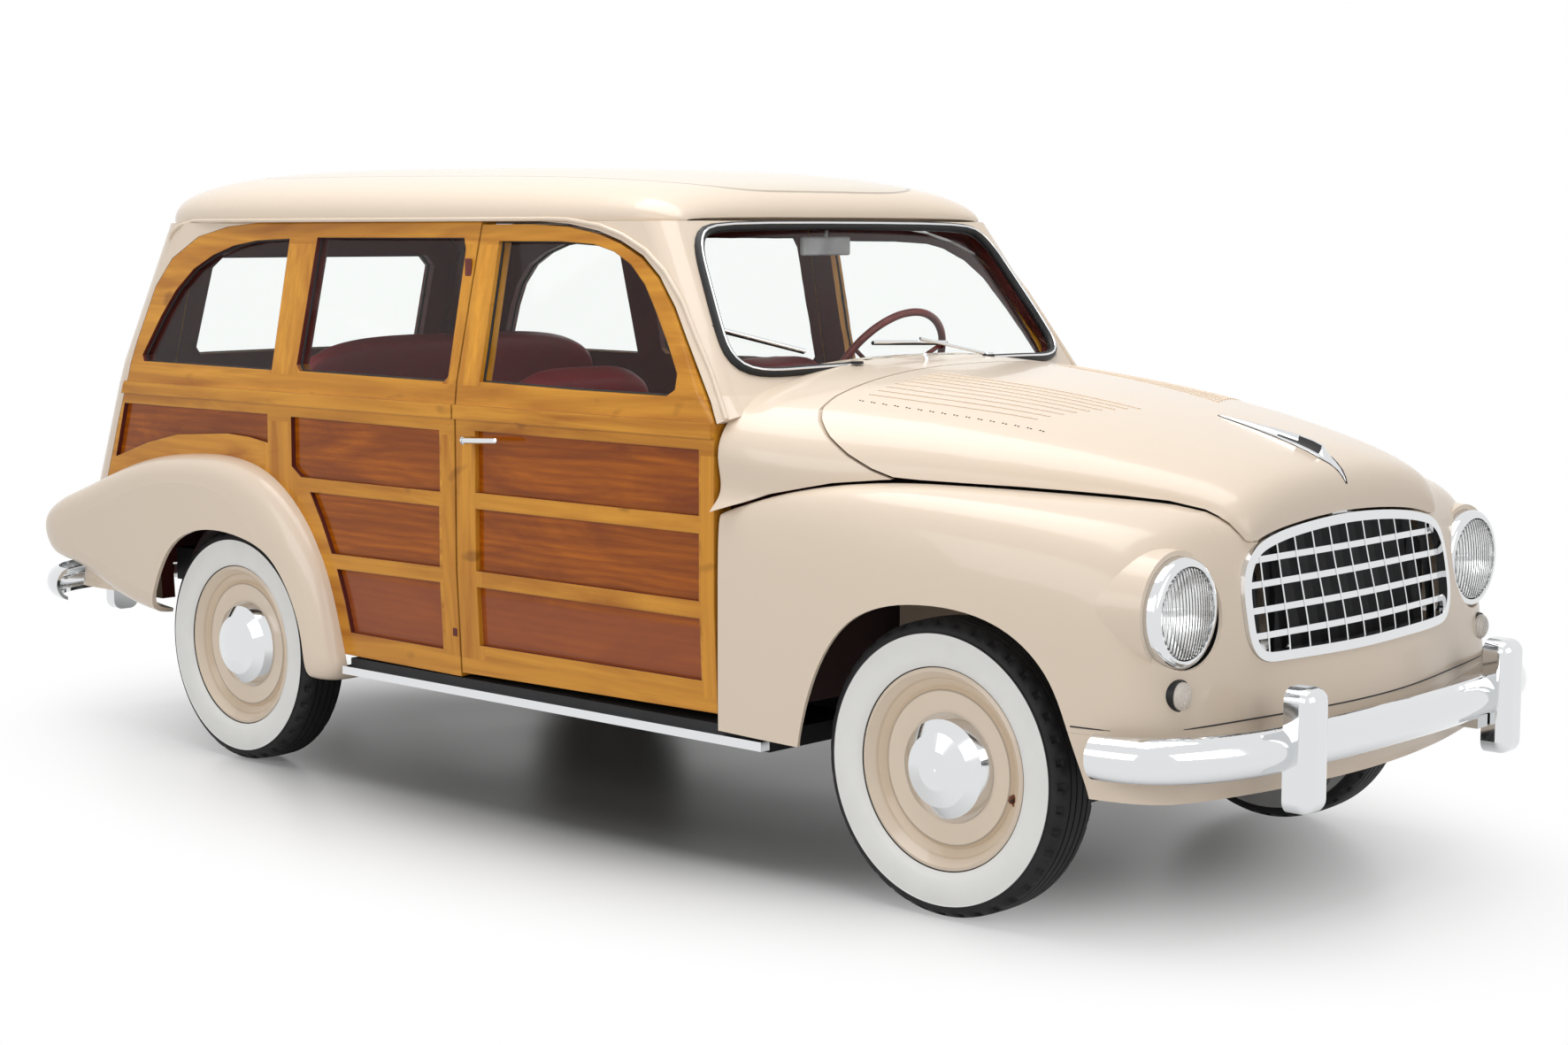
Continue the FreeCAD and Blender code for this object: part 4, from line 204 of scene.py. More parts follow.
class Finish(Nodes):
    """A node material that starts as one shader"""

    def __init__(self, name, base, **sockets):
        self.material = bpy.data.materials.new(name)
        self.material.use_nodes = True
        super().__init__(self.material.node_tree)
        self.shader = self.tree.nodes["Principled BSDF"]
        self.spots = self.add("ShaderNodeTexCoord").outputs
        self.put(self.shader.inputs["Base Color"], base)
        for key, value in sockets.items():
            self.put(self.shader.inputs[key.replace("_", " ")], value)

    def place(self, scale=(1, 1, 1), shift=(0, 0, 0)):
        inputs = {"Vector": self.spots["Object"], "Scale": scale, "Location": shift}
        return self.add("ShaderNodeMapping", inputs).outputs["Vector"]

    def noise(self, scale, detail, roughness=0.5, distortion=0.0, vector=None):
        return self.add("ShaderNodeTexNoise", {
            "Vector": vector or self.place(), "Scale": scale, "Detail": detail, "Roughness": roughness,
            "Distortion": distortion}).outputs["Fac"]

    def wave(self, axis, scale, distortion=0.0, detail=0.0, vector=None):
        return self.add("ShaderNodeTexWave", {
            "Vector": vector or self.place(), "Scale": scale, "Distortion": distortion, "Detail": detail,
            }, bands_direction=axis, wave_profile="SIN").outputs["Fac"]

    def ramp(self, value, stops):
        """Colours at stops along a value"""
        made = self.add("ShaderNodeValToRGB", {"Fac": value})
        points = made.color_ramp.elements
        while len(points) < len(stops):
            points.new(0.5)
        for point, (spot, shade) in zip(points, stops):
            point.position = spot
            point.color = (*shade, 1.0)
        return made.outputs["Color"]

    def mix(self, share, a, b):
        made = self.add("ShaderNodeMix", data_type="RGBA", blend_type="MIX")
        for index, value in ((0, share), (6, a), (7, b)):
            self.put(made.inputs[index], value)
        return made.outputs[2]

    def stain(self, tone, shade, field, low, high, start=0.0, end=0.0):
        """A shade mixed into a tone, from the share start at the field's low level to end at its high one"""
        return self.mix(self.levels(field, low, high, start, end), tone, shade)

    def axes(self, vector=None):
        return self.add("ShaderNodeSeparateXYZ", {0: vector or self.spots["Object"]}).outputs

    def paint(self, value):
        self.put(self.shader.inputs["Base Color"], value)

    def gloss(self, field, low, high, start, end):
        """Roughness from start at the field's low level to end at its high one"""
        self.put(self.shader.inputs["Roughness"], self.levels(field, low, high, start, end))

    def bump(self, height, strength, distance):
        made = self.add("ShaderNodeBump", {"Strength": strength, "Distance": distance, "Height": height})
        self.put(self.shader.inputs["Normal"], made.outputs["Normal"])
        return made

    def between(self, value, low, high):
        """1 where a value lies between two bounds, else 0"""
        return self.product(self.math("GREATER_THAN", value, low), self.math("LESS_THAN", value, high))

    def band(self, value, rise, fall):
        """1 between a rising edge and a falling one, each given by its two ends"""
        return self.product(self.levels(value, *rise), self.levels(value, *fall))

    def lined(self, tone, lining, outer, inner):
        """The lining's colour and duller gloss where the surface faces the middle of the cabin"""
        away = self.vector("SUBTRACT", self.spots["Object"], CABIN_MIDDLE)[0]
        across = self.vector("MULTIPLY", away, (0.25, 1.0, 1.0))[0]
        lean = self.vector("DOT_PRODUCT", across, self.spots["Normal"])["Value"]
        side = self.levels(lean, 0.05, -0.05)
        self.gloss(side, 0.0, 1.0, outer, inner)
        return self.mix(side, tone, lining)


def enamel(name, shade, lining=None, panel=None):
    """Gloss enamel with a faint orange peel, and a lining inside or a roof panel if asked"""
    made = Finish(name, shade, Roughness=0.26, Specular_IOR_Level=0.25, Coat_Weight=0.35, Coat_Roughness=0.03)
    tone = made.stain(shade, toned(shade, 0.90), made.noise(1.3, 3.0), 0.3, 0.7, end=0.10)
    if panel is not None:
        tone = roof_top(made, tone, panel)
    made.bump(made.noise(260.0, 2.0), 0.03, 0.0004)
    if lining is not None:
        tone = made.lined(tone, lining, 0.22, 0.55)
    made.paint(tone)


ROOF_PANEL_MIDDLE, ROOF_PANEL_HALF_LENGTH, ROOF_PANEL_HALF_WIDTH = -0.47, 0.905, 0.468
ROOF_PANEL_LOWEST = 1.515
ROOF_SEAM_SHADE = (0.12, 0.09, 0.06)


def roof_top(made, tone, shade):
    """The greyer top panel of the roof inside a thin dark seam"""
    x, y, z = made.axes()
    along = made.math("ABSOLUTE", made.math("DIVIDE", made.math("SUBTRACT", x, ROOF_PANEL_MIDDLE),
                                            ROOF_PANEL_HALF_LENGTH))
    across = made.math("ABSOLUTE", made.math("DIVIDE", y, ROOF_PANEL_HALF_WIDTH))
    rounded = made.math("ADD", made.math("POWER", along, 7.0), made.math("POWER", across, 5.0))
    ring = made.math("POWER", rounded, 0.167)
    high = made.math("GREATER_THAN", z, ROOF_PANEL_LOWEST)
    tone = made.mix(made.product(made.levels(ring, 1.002, 0.998), high), tone, shade)
    seam = made.band(ring, (1.011, 1.007), (0.997, 1.001))
    return made.mix(made.product(seam, high, 0.55), tone, ROOF_SEAM_SHADE)


# Where upright posts, and rails that cross them, turn the grain of a frame
POST_SPANS = [(-0.205, -0.060), (-0.930, -0.792), (0.690, 0.760)]
HATCH_POST_SPANS = [(-0.600, -0.418), (-0.030, 0.030), (0.418, 0.600)]
RAIL_SPANS = [(0.928, 1.052), (1.392, 1.480), (0.280, 0.380)]
ROUNDED_EDGE = 0.0055


def stretched(axis, along, across, up=None):
    """A pattern's scale, with its long way along one axis"""
    scale = {"X": (along, across, across), "Y": (across, along, across), "Z": (across, across, along)}[axis]
    return scale if up is None else (*scale[:2], up)


def grain(made, axis):
    """Long wood figure and its fine threads along one axis"""
    squeeze = stretched(axis, 0.9, 9.0)
    figure = made.noise(1.5, 6.0, 0.55, 1.1, made.place(scale=squeeze))
    threads = made.noise(2.2, 3.0, 0.6, vector=made.place(scale=tuple(v * v * 0.4 for v in squeeze)))
    return figure, threads


def ash(name, light, dark, lining, axis="X"):
    """Lacquered ash: grain along each post and rail, knots, softened edges and a lining inside"""
    made = Finish(name, light, Roughness=0.32, Specular_IOR_Level=0.12, Coat_Weight=0.30, Coat_Roughness=0.05)
    x, y, z = made.axes()
    lying = grain(made, axis)
    standing = grain(made, "Z")
    spans, run = (POST_SPANS, x) if axis == "X" else (HATCH_POST_SPANS, y)
    posts = [made.between(run, low, high) for low, high in spans]
    upright = made.math("MAXIMUM", made.math("MAXIMUM", posts[0], posts[1]), posts[2])
    for low, high in RAIL_SPANS:
        upright = made.product(upright, made.math("SUBTRACT", 1.0, made.between(z, low, high)))
    level = made.math("SUBTRACT", 1.0, upright)
    figure, threads = (made.math("ADD", made.product(post, upright), made.product(rail, level))
                       for post, rail in zip(standing, lying))
    stops = [(0.28, dark), (0.42, halfway(light, dark)), (0.56, light), (0.78, toned(light, 1.16))]
    tone = made.ramp(figure, stops)
    tone = made.stain(tone, dark, threads, 0.35, 0.62, start=0.28)
    tone = made.stain(tone, dark, made.noise(2.4, 2.0), 0.45, 0.75, end=0.30)
    knots = made.noise(5.0, 1.0, vector=made.place(scale=(1.6, 1.6, 3.0)))
    tone = made.stain(tone, toned(dark, 0.5), knots, 0.72, 0.80, end=0.55)
    made.paint(made.lined(tone, lining, 0.26, 0.6))
    threaded = made.bump(threads, 0.05, 0.0006)
    eased = made.add("ShaderNodeBevel", {"Radius": ROUNDED_EDGE}, samples=4)
    made.put(threaded.inputs["Normal"], eased.outputs["Normal"])


LOWEST_BOARD_TOP = (0.545, 0.535)
LOWEST_BOARD_SHADE = (0.30, 0.075, 0.028)


def mahogany(name, light, dark, lining, axis="X"):
    """Lacquered mahogany boards with a flamed figure, redder in the lowest row"""
    made = Finish(name, light, Roughness=0.30, Specular_IOR_Level=0.10, Coat_Weight=0.28, Coat_Roughness=0.03)
    z = made.axes()[2]
    figure = made.noise(1.7, 7.0, 0.58, 1.9, made.place(scale=stretched(axis, 1.0, 5.0, 5.5)))
    rings = made.wave("Z", 4.6, 7.5, 4.0, made.place(scale=stretched(axis, 0.5, 1.0, 3.2)))
    threads = made.noise(2.0, 3.0, 0.6, vector=made.place(scale=stretched(axis, 2.5, 70.0)))
    tone = made.ramp(figure, [(0.30, dark), (0.50, halfway(light, dark)), (0.68, light)])
    tone = made.stain(tone, dark, rings, 0.15, 0.75, start=0.42)
    tone = made.stain(tone, toned(dark, 0.6), threads, 0.35, 0.65, start=0.30)
    tone = made.stain(tone, LOWEST_BOARD_SHADE, z, *LOWEST_BOARD_TOP, end=0.62)
    made.paint(made.lined(tone, lining, 0.20, 0.6))
    made.bump(threads, 0.03, 0.0004)


def bright(name, shade, roughness):
    """Chrome plate with faint polishing haze"""
    made = Finish(name, shade, Metallic=1.0, Roughness=roughness)
    made.gloss(made.noise(22.0, 3.0), 0.3, 0.8, roughness * 0.7, roughness * 1.6)


def pane(name, tint):
    """Clear window glass with a faint unevenness"""
    made = Finish(name, tint, Roughness=0.0, Transmission_Weight=1.0, IOR=1.18)
    made.gloss(made.noise(3.0, 2.0), 0.3, 0.8, 0.0, 0.015)


def fluted(name):
    """Moulded lamp glass with upright flutes"""
    made = Finish(name, (0.97, 0.98, 0.97), Roughness=0.02, Transmission_Weight=1.0, IOR=1.40)
    flutes = made.wave("Y", 32.0)
    made.paint(made.mix(flutes, (0.90, 0.91, 0.91), (1.0, 1.0, 1.0)))
    made.bump(flutes, 0.8, 0.0012)


def ringed(name, centre, rings_per_metre=1500.0):
    """Moulded park lamp glass with rings round its middle"""
    made = Finish(name, (0.93, 0.93, 0.92), Roughness=0.05, Transmission_Weight=0.7, IOR=1.48)
    x, y, z = made.axes()
    aside = made.math("SUBTRACT", made.math("ABSOLUTE", y), centre.y)
    reach = made.reach(aside, made.math("SUBTRACT", z, centre.z))
    made.bump(made.math("SINE", made.product(reach, rings_per_metre)), 0.5, 0.0008)


def ruby(name):
    """Red tail lamp glass with level flutes"""
    made = Finish(name, (0.50, 0.010, 0.008), Roughness=0.12, Transmission_Weight=0.35, IOR=1.49)
    made.bump(made.wave("Z", 120.0), 0.4, 0.0006)


def matt(name, shade, roughness=0.5, peel=0.25):
    """Dull paint, rubber or plastic with cloudy wear"""
    made = Finish(name, shade, Roughness=roughness, Specular_IOR_Level=0.25)
    cloud = made.noise(9.0, 5.0)
    made.paint(made.stain(shade, toned(shade, 2.6), cloud, 0.35, 0.75, end=0.6))
    made.gloss(cloud, 0.2, 0.8, roughness * 0.8, min(1.0, roughness * 1.3))
    made.bump(made.noise(180.0, 3.0), peel, 0.0008)


def radius_from(made, centre):
    """Distance from the axle line, which runs along Y"""
    x, y, z = made.axes(made.place(shift=(-centre.x, 0, -centre.z)))
    return made.reach(x, z)


# Rising and falling edges of the rings on a tyre and a wheel, as radii
WHITE_BAND = (0.2150, 0.2160), (0.2860, 0.2848)
TAN_RING = (0.1625, 0.1650), (0.1925, 0.1900)
DISC_EDGE_DARK_LINE = (0.1600, 0.1622), (0.1660, 0.1640)
RUST_CHIP = Vector((1.537, -0.656, 0.2687))


def tyre_rubber(name, centre, black, white):
    """Black tread and shoulder, with a white band on the side wall"""
    made = Finish(name, black, Roughness=0.55, Specular_IOR_Level=0.25)
    band = made.band(radius_from(made, centre), *WHITE_BAND)
    dust = made.noise(14.0, 5.0)
    chalk = made.stain(white, toned(white, 0.72), dust, 0.45, 0.8, end=0.16)
    coal = made.stain(black, toned(black, 2.5), dust, 0.35, 0.8, end=0.5)
    made.paint(made.mix(band, coal, chalk))
    made.gloss(band, 0.0, 1.0, 0.62, 0.42)
    made.bump(made.noise(150.0, 3.0), 0.10, 0.0006)


def wheel_enamel(name, centre, shade, ring, chip):
    """Cream wheel with a tan raised ring, a dark line where the disc meets it, and a rust chip if any"""
    made = Finish(name, shade, Roughness=0.28, Specular_IOR_Level=0.25, Coat_Weight=0.30, Coat_Roughness=0.05)
    reach = radius_from(made, centre)
    tone = made.mix(made.product(made.band(reach, *TAN_RING), 0.55), shade, ring)
    # A dark line where the disc meets the raised ring
    tone = made.mix(made.product(made.band(reach, *DISC_EDGE_DARK_LINE), 0.6), tone, toned(ring, 0.35))
    tone = made.stain(tone, ring, made.noise(6.0, 4.0), 0.4, 0.8, end=0.12)
    if chip is not None:
        away = made.vector("LENGTH", made.place(shift=-chip))["Value"]
        ragged = made.math("ADD", away, made.product(made.noise(90.0, 3.0), 0.016))
        tone = made.stain(tone, (0.16, 0.045, 0.010), ragged, 0.0200, 0.0175, end=1.0)
        tone = made.stain(tone, (0.035, 0.014, 0.008), ragged, 0.0150, 0.0130, end=1.0)
    made.paint(tone)
    made.bump(made.noise(240.0, 2.0), 0.04, 0.0004)


def hide(name, shade, roughness=0.42):
    """Smooth leather with fine creases and worn high spots"""
    made = Finish(name, shade, Roughness=roughness, Specular_IOR_Level=0.30)
    creases = {"Vector": made.place(), "Scale": 210.0}
    cells = made.add("ShaderNodeTexVoronoi", creases, feature="DISTANCE_TO_EDGE")
    wear = made.noise(5.0, 5.0)
    made.paint(made.stain(shade, toned(shade, 1.9), wear, 0.4, 0.75, end=0.5))
    made.gloss(wear, 0.3, 0.8, roughness * 1.15, roughness * 0.8)
    made.bump(cells.outputs["Distance"], 0.18, 0.0008)


def cloth(name, shade):
    """Short looped carpet or lining cloth"""
    made = Finish(name, shade, Roughness=0.9, Sheen_Weight=0.3)
    loops = made.noise(420.0, 2.0)
    made.paint(made.mix(loops, toned(shade, 0.7), toned(shade, 1.25)))
    made.bump(loops, 0.4, 0.001)


def cast_iron(name, shade=(0.060, 0.068, 0.062), oil=(0.035, 0.024, 0.015)):
    """Grey-green engine paint with oily stains"""
    made = Finish(name, shade, Roughness=0.6, Metallic=0.2)
    made.paint(made.stain(shade, oil, made.noise(4.0, 5.0), 0.4, 0.7, end=0.7))
    made.bump(made.noise(90.0, 5.0), 0.5, 0.0012)


PARK_LAMP = Vector((0, 0.606, 0.524))

# The finish of each node by its whole name, or else by a word in it, or else cream enamel
NAMED_FINISHES = {
    "windscreen": "window_glass", "lamp_glasses": "fluted_lamp_glass", "tail_lamps": "ruby_lens",
    "engine_block": "cast_iron_paint", "floor_pan": "maroon_carpet", "dashboard": "maroon_lining",
    "seat_frames": "maroon_lining", "front_seats": "red_leather", "rear_seat": "red_leather",
    "steering_column": "dark_red_plastic", "steering_wheel": "dark_red_plastic",
    "interior_mirror": "grey_mirror_shell", "roof": "roof_enamel", "side_frames": "lacquered_ash",
    "hatch_frame": "lacquered_ash_hatch", "hatch_boards": "lacquered_mahogany_hatch",
    "windscreen_frame": "cream_enamel_lined", "tail_shell": "cream_enamel_lined",
    "radiator": "chassis_black", "chassis_frame": "chassis_black", "rear_axle": "chassis_black",
    "exhaust": "chassis_black", "sills": "chassis_black", "knuckle_left": "chassis_black",
    "knuckle_right": "chassis_black",
}
WORD_FINISHES = {
    "tyre_front": "tyre_rubber_front", "tyre_rear": "tyre_rubber_rear", "wheel_front": "wheel_enamel_front",
    "wheel_rear": "wheel_enamel_rear", "glass": "window_glass", "boards": "lacquered_mahogany",
    "door_frame": "lacquered_ash", "hubcap": "chrome_plate", "bumper": "chrome_plate",
    "grille": "chrome_plate", "rings": "chrome_plate", "strips": "chrome_plate", "wipers": "chrome_plate",
    "handle": "chrome_plate",
}


def finish_of(name):
    if name in NAMED_FINISHES:
        return NAMED_FINISHES[name]
    for word, finish in WORD_FINISHES.items():
        if word in name:
            return finish
    return "cream_enamel"


class WAGON_OT_finishes(bpy.types.Operator):
    """Give every panel, frame, pane, tyre and casting its finish"""
    bl_idname = "wagon.finishes"
    bl_label = "Finish the panels"

    def execute(self, context):
        tones = {key: tuple(getattr(context.scene.wagon_finish, key)) for key in WagonFinish.__annotations__}
        cream, lining, rubber = tones["enamel"], tones["lining"], tones["rubber"]
        ash_tones = tones["ash_light"], tones["ash_dark"], lining
        board_tones = tones["board_light"], tones["board_dark"], lining
        enamel("cream_enamel", cream)
        enamel("cream_enamel_lined", cream, lining)
        enamel("roof_enamel", cream, (0.42, 0.36, 0.29), tones["roof_panel"])
        ash("lacquered_ash", *ash_tones)
        ash("lacquered_ash_hatch", *ash_tones, axis="Y")
        mahogany("lacquered_mahogany", *board_tones)
        mahogany("lacquered_mahogany_hatch", *board_tones, axis="Y")
        bright("chrome_plate", (0.74, 0.75, 0.76), 0.07)
        bright("lamp_reflector", (0.90, 0.90, 0.90), 0.12)
        pane("window_glass", (0.97, 0.985, 0.975))
        fluted("fluted_lamp_glass")
        ringed("ringed_lamp_glass", PARK_LAMP)
        ruby("ruby_lens")
        matt("black_rubber", rubber, 0.45, 0.1)
        matt("chassis_black", (0.014, 0.014, 0.015))
        matt("dark_red_plastic", (0.130, 0.016, 0.012), 0.28, 0.02)
        matt("grey_mirror_shell", (0.30, 0.30, 0.31), 0.35, 0.05)
        cast_iron("cast_iron_paint")
        hide("red_leather", tones["leather"])
        hide("maroon_lining", lining, 0.55)
        cloth("maroon_carpet", (0.045, 0.010, 0.010))
        for end, centre, chip in (("front", FRONT_AXLE, RUST_CHIP), ("rear", REAR_AXLE, None)):
            tyre_rubber("tyre_rubber_" + end, centre, rubber, tones["whitewall"])
            wheel_enamel("wheel_enamel_" + end, centre, cream, tones["wheel_ring"], chip)
        for name, node in NODES.items():
            node.data.materials.clear()
            node.data.materials.append(bpy.data.materials[finish_of(name)])
        return {"FINISHED"}


# Modelling helpers

def deselect():
    if bpy.context.object and bpy.context.object.mode != "OBJECT":
        bpy.ops.object.mode_set(mode="OBJECT")
    bpy.ops.object.select_all(action="DESELECT")


def take(*objects):
    deselect()
    for item in objects:
        item.select_set(True)
    bpy.context.view_layer.objects.active = objects[-1]


@contextmanager
def editing(item):
    """Edit mode on one piece, with all of it selected"""
    take(item)
    bpy.ops.object.mode_set(mode="EDIT")
    bpy.ops.mesh.select_all(action="SELECT")
    yield
    bpy.ops.object.mode_set(mode="OBJECT")


def pick(item, kind, wanted):
    """Select only the faces or edges that are wanted, in edit mode"""
    bpy.ops.mesh.select_mode(type=kind)
    bpy.ops.mesh.select_all(action="DESELECT")
    shape = bmesh.from_edit_mesh(item.data)
    for part in shape.faces if kind == "FACE" else shape.edges:
        part.select = wanted(part)
    bmesh.update_edit_mesh(item.data)


def merge_outward(threshold):
    """Merge doubles and turn the faces outwards, in edit mode"""
    bpy.ops.mesh.select_all(action="SELECT")
    bpy.ops.mesh.remove_doubles(threshold=threshold)
    bpy.ops.mesh.normals_make_consistent(inside=False)


def smooth_under(degrees):
    bpy.ops.object.shade_smooth_by_angle(angle=math.radians(degrees))


def settle(item, name, finish, body):
    """Apply the place, name the piece, finish it and let it ride on its body"""
    take(item)
    bpy.ops.object.transform_apply(location=True, rotation=True, scale=True)
    item.name = name
    item.data.name = name
    item.data.materials.clear()
    item.data.materials.append(bpy.data.materials[finish])
    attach(item, body)
    return item


def joined(items):
    take(*items)
    bpy.ops.object.join()
    return bpy.context.object


def polyline(points, closed=False):
    """One vertex extruded from point to point"""
    deselect()
    bpy.ops.mesh.primitive_plane_add(size=0.01, location=(0, 0, 0))
    with editing(bpy.context.object):
        bpy.ops.mesh.merge(type="CENTER")
        bpy.ops.transform.translate(value=points[0])
        for before, after in zip(points, points[1:]):
            bpy.ops.mesh.extrude_region_move(TRANSFORM_OT_translate={"value": after - before})
        if closed:
            bpy.ops.mesh.select_all(action="SELECT")
            bpy.ops.mesh.edge_face_add()
            bpy.ops.mesh.delete(type="ONLY_FACE")
    return bpy.context.object


def tube(item, radius, rounds=3, caps=True, angle=50):
    """A line of edges turned into a round moulding"""
    take(item)
    bpy.ops.object.convert(target="CURVE")
    curve = bpy.context.object.data
    curve.bevel_depth = radius
    curve.bevel_resolution = rounds
    curve.use_fill_caps = caps
    bpy.ops.object.convert(target="MESH")
    smooth_under(angle)
    return bpy.context.object


def strand(points, radius, closed=False):
    """A round moulding along a line of points"""
    return tube(polyline(points, closed), radius)


def smooth_ring(points, count, fineness=12):
    """Evenly spaced points on a smooth closed line through the given ones"""
    total = len(points)
    fine = []
    for i in range(total):
        p0, p1, p2, p3 = (points[(i + k) % total] for k in (-1, 0, 1, 2))
        for step in range(fineness):
            t = step / fineness
            fine.append(0.5 * ((2 * p1) + (p2 - p0) * t + (2 * p0 - 5 * p1 + 4 * p2 - p3) * t * t
                               + (3 * p1 - p0 - 3 * p2 + p3) * t ** 3))
    fine.append(fine[0])
    lengths = [0.0]
    for a, b in zip(fine, fine[1:]):
        lengths.append(lengths[-1] + (b - a).length)
    even = []
    spot = 0
    for k in range(count):
        goal = lengths[-1] * k / count
        while lengths[spot + 1] < goal:
            spot += 1
        share = (goal - lengths[spot]) / max(1e-9, lengths[spot + 1] - lengths[spot])
        even.append(fine[spot].lerp(fine[spot + 1], share))
    return even


def evened(line, turns, closed):
    """A line whose points are averaged with their neighbours, the ends of an open one held"""
    for turn in range(turns):
        if closed:
            line = [(line[k - 1] + 2 * line[k] + line[(k + 1) % len(line)]) / 4 for k in range(len(line))]
        else:
            line = [line[0]] + [(a + 2 * b + c) / 4 for a, b, c in zip(line, line[1:], line[2:])] + [line[-1]]
    return line


def tree_of(*names):
    """A search tree over the faces of CAD nodes"""
    corners = []
    faces = []
    for name in names:
        mesh = NODES[name].data
        start = len(corners)
        corners.extend(v.co.copy() for v in mesh.vertices)
        faces.extend([start + i for i in p.vertices] for p in mesh.polygons)
    return BVHTree.FromPolygons(corners, faces)


def land(tree, start, direction, lift=0.0):
    """Where a ray meets the panels, lifted off along the normal, or None where it meets nothing"""
    spot, normal, index, reach = tree.ray_cast(start, direction)
    if spot is None:
        return None
    if normal.dot(direction) > 0:
        normal = -normal
    return spot + normal * lift


def drop(tree, x, y):
    """Where a plumb line meets the panels"""
    return land(tree, Vector((x, y, ABOVE_BONNET)), DOWN)


def landed(spots):
    """The spots that rays met; a piece can't be made on fewer than two"""
    found = [spot for spot in spots if spot is not None]
    if len(found) < 2:
        raise RuntimeError("the rays miss the panels that the piece lies on")
    return found


def sweep(section, stations):
    """A section in width and height carried through stations of place, width and height"""
    place, wide, high = stations[0]
    item = polyline([place + Vector((0, a * wide, b * high)) for a, b in section])
    with editing(item):
        for (before, wide, high), (after, new_wide, new_high) in zip(stations, stations[1:]):
            bpy.ops.mesh.extrude_region_move(TRANSFORM_OT_translate={"value": after - before})
            bpy.ops.transform.resize(value=(1, new_wide / wide, new_high / high), center_override=after)
        merge_outward(0.00005)
    smooth_under(40)
    return item


def turned(profile, centre, steps, axis=FORWARD, closed=False):
    """A profile of height along the axis and radius, turned round the axis like on a lathe"""
    axis = Vector(axis)
    item = polyline([centre + axis * a + UP * r for a, r in profile], closed)
    with editing(item):
        bpy.ops.mesh.spin(steps=steps, angle=math.tau, center=centre, axis=axis, use_auto_merge=True)
        merge_outward(0.00008)
    smooth_under(35)
    return item


def twin(item, shift):
    """A second copy moved aside and joined to the first"""
    take(item)
    bpy.ops.object.duplicate(linked=False)
    copy = bpy.context.object
    bpy.ops.transform.translate(value=shift)
    return joined([copy, item])


# Places across and up on the windscreen, from the sill's middle up the left side to the top's middle
SCREEN_HALF = [
    (0.000, 1.120), (0.300, 1.113), (0.490, 1.106), (0.565, 1.106), (0.598, 1.130), (0.590, 1.190),
    (0.560, 1.300), (0.535, 1.385), (0.505, 1.420), (0.440, 1.436), (0.220, 1.446), (0.000, 1.448)]
SCREEN_OUTLINE = SCREEN_HALF + [(-y, z) for y, z in reversed(SCREEN_HALF[1:-1])]
SCREEN_MIDDLE = Vector((0, 0, 1.28))
SCREEN_LEAN = Vector((0.82, 0.0, 0.57))
SCREEN_TOP = 1.4375
SEAL_OUTSET = 0.005
SEAL_FOOT = 0.004
SEAL_DEPTH = 0.014


class WAGON_OT_windscreen_seal(bpy.types.Operator):
    """Run the thick rubber seal and its bright bead round the windscreen"""
    bl_idname = "wagon.windscreen_seal"
    bl_label = "Seal the windscreen"

    def execute(self, context):
        trim = context.scene.wagon_trim
        wall = tree_of("windscreen_frame", "roof")
        sill = tree_of("scuttle", "bonnet")
        line = []
        for spot in smooth_ring([Vector((0, y, z)) for y, z in SCREEN_OUTLINE], 150):
            spot += (spot - SCREEN_MIDDLE).normalized() * SEAL_OUTSET
            spot.z = min(spot.z, SCREEN_TOP)
            found = land(wall, Vector((AHEAD_OF_SCREEN, spot.y, spot.z)), AFT)
            if found is None:
                continue
            ledge = drop(sill, found.x + SEAL_DEPTH, found.y)
            if found.z < 1.2 and ledge is not None and ledge.z + SEAL_FOOT > found.z:
                rise = ledge.z + SEAL_FOOT - found.z
                found += Vector((-0.69 * rise, 0, rise))
            line.append(found)
        line = evened(landed(line), 6, closed=True)
        for name, finish, radius, lift in (
                ("windscreen_seal", "black_rubber", trim.seal_radius, 0.002),
                ("windscreen_bead", "chrome_plate", trim.bead_radius, trim.seal_radius + 0.0008)):
            ring = strand([spot + SCREEN_LEAN * lift for spot in line], radius, closed=True)
            settle(ring, name, finish, "body")
        return {"FINISHED"}


def pane_rim(node, outside):
    """The outer edge lines of a pane, as a mesh of loose edges"""
    item = bpy.data.objects.new(node + "_rim", NODES[node].data.copy())
    bpy.context.scene.collection.objects.link(item)
    with editing(item):
        bpy.ops.mesh.remove_doubles(threshold=TIGHT_MERGE)
        pick(item, "FACE", lambda face: not outside(face.normal, face.calc_center_median()))
        bpy.ops.mesh.delete(type="FACE")
        pick(item, "EDGE", lambda edge: not edge.is_boundary)
        bpy.ops.mesh.delete(type="EDGE")
        bpy.ops.mesh.select_all(action="SELECT")
        bpy.ops.mesh.delete(type="ONLY_FACE")
        bpy.ops.mesh.select_mode(type="VERT")
    return item


class WAGON_OT_gaskets(bpy.types.Operator):
    """Press a black rubber line round every side, door and rear pane"""
    bl_idname = "wagon.gaskets"
    bl_label = "Fit the gaskets"

    def execute(self, context):
        radius = context.scene.wagon_trim.gasket_radius
        flank = lambda normal, spot: normal.y * spot.y > 0 and abs(normal.y) > 0.7
        stern = lambda normal, spot: normal.x < -0.7
        for node, outside, body in (
                ("side_glass", flank, "body"), ("door_glass_right", flank, "door_right"),
                ("door_glass_left", flank, "door_left"), ("hatch_glass", stern, "hatch")):
            rubber = tube(pane_rim(node, outside), radius, rounds=2, caps=False, angle=60)
            settle(rubber, node + "_gasket", "black_rubber", body)
        return {"FINISHED"}


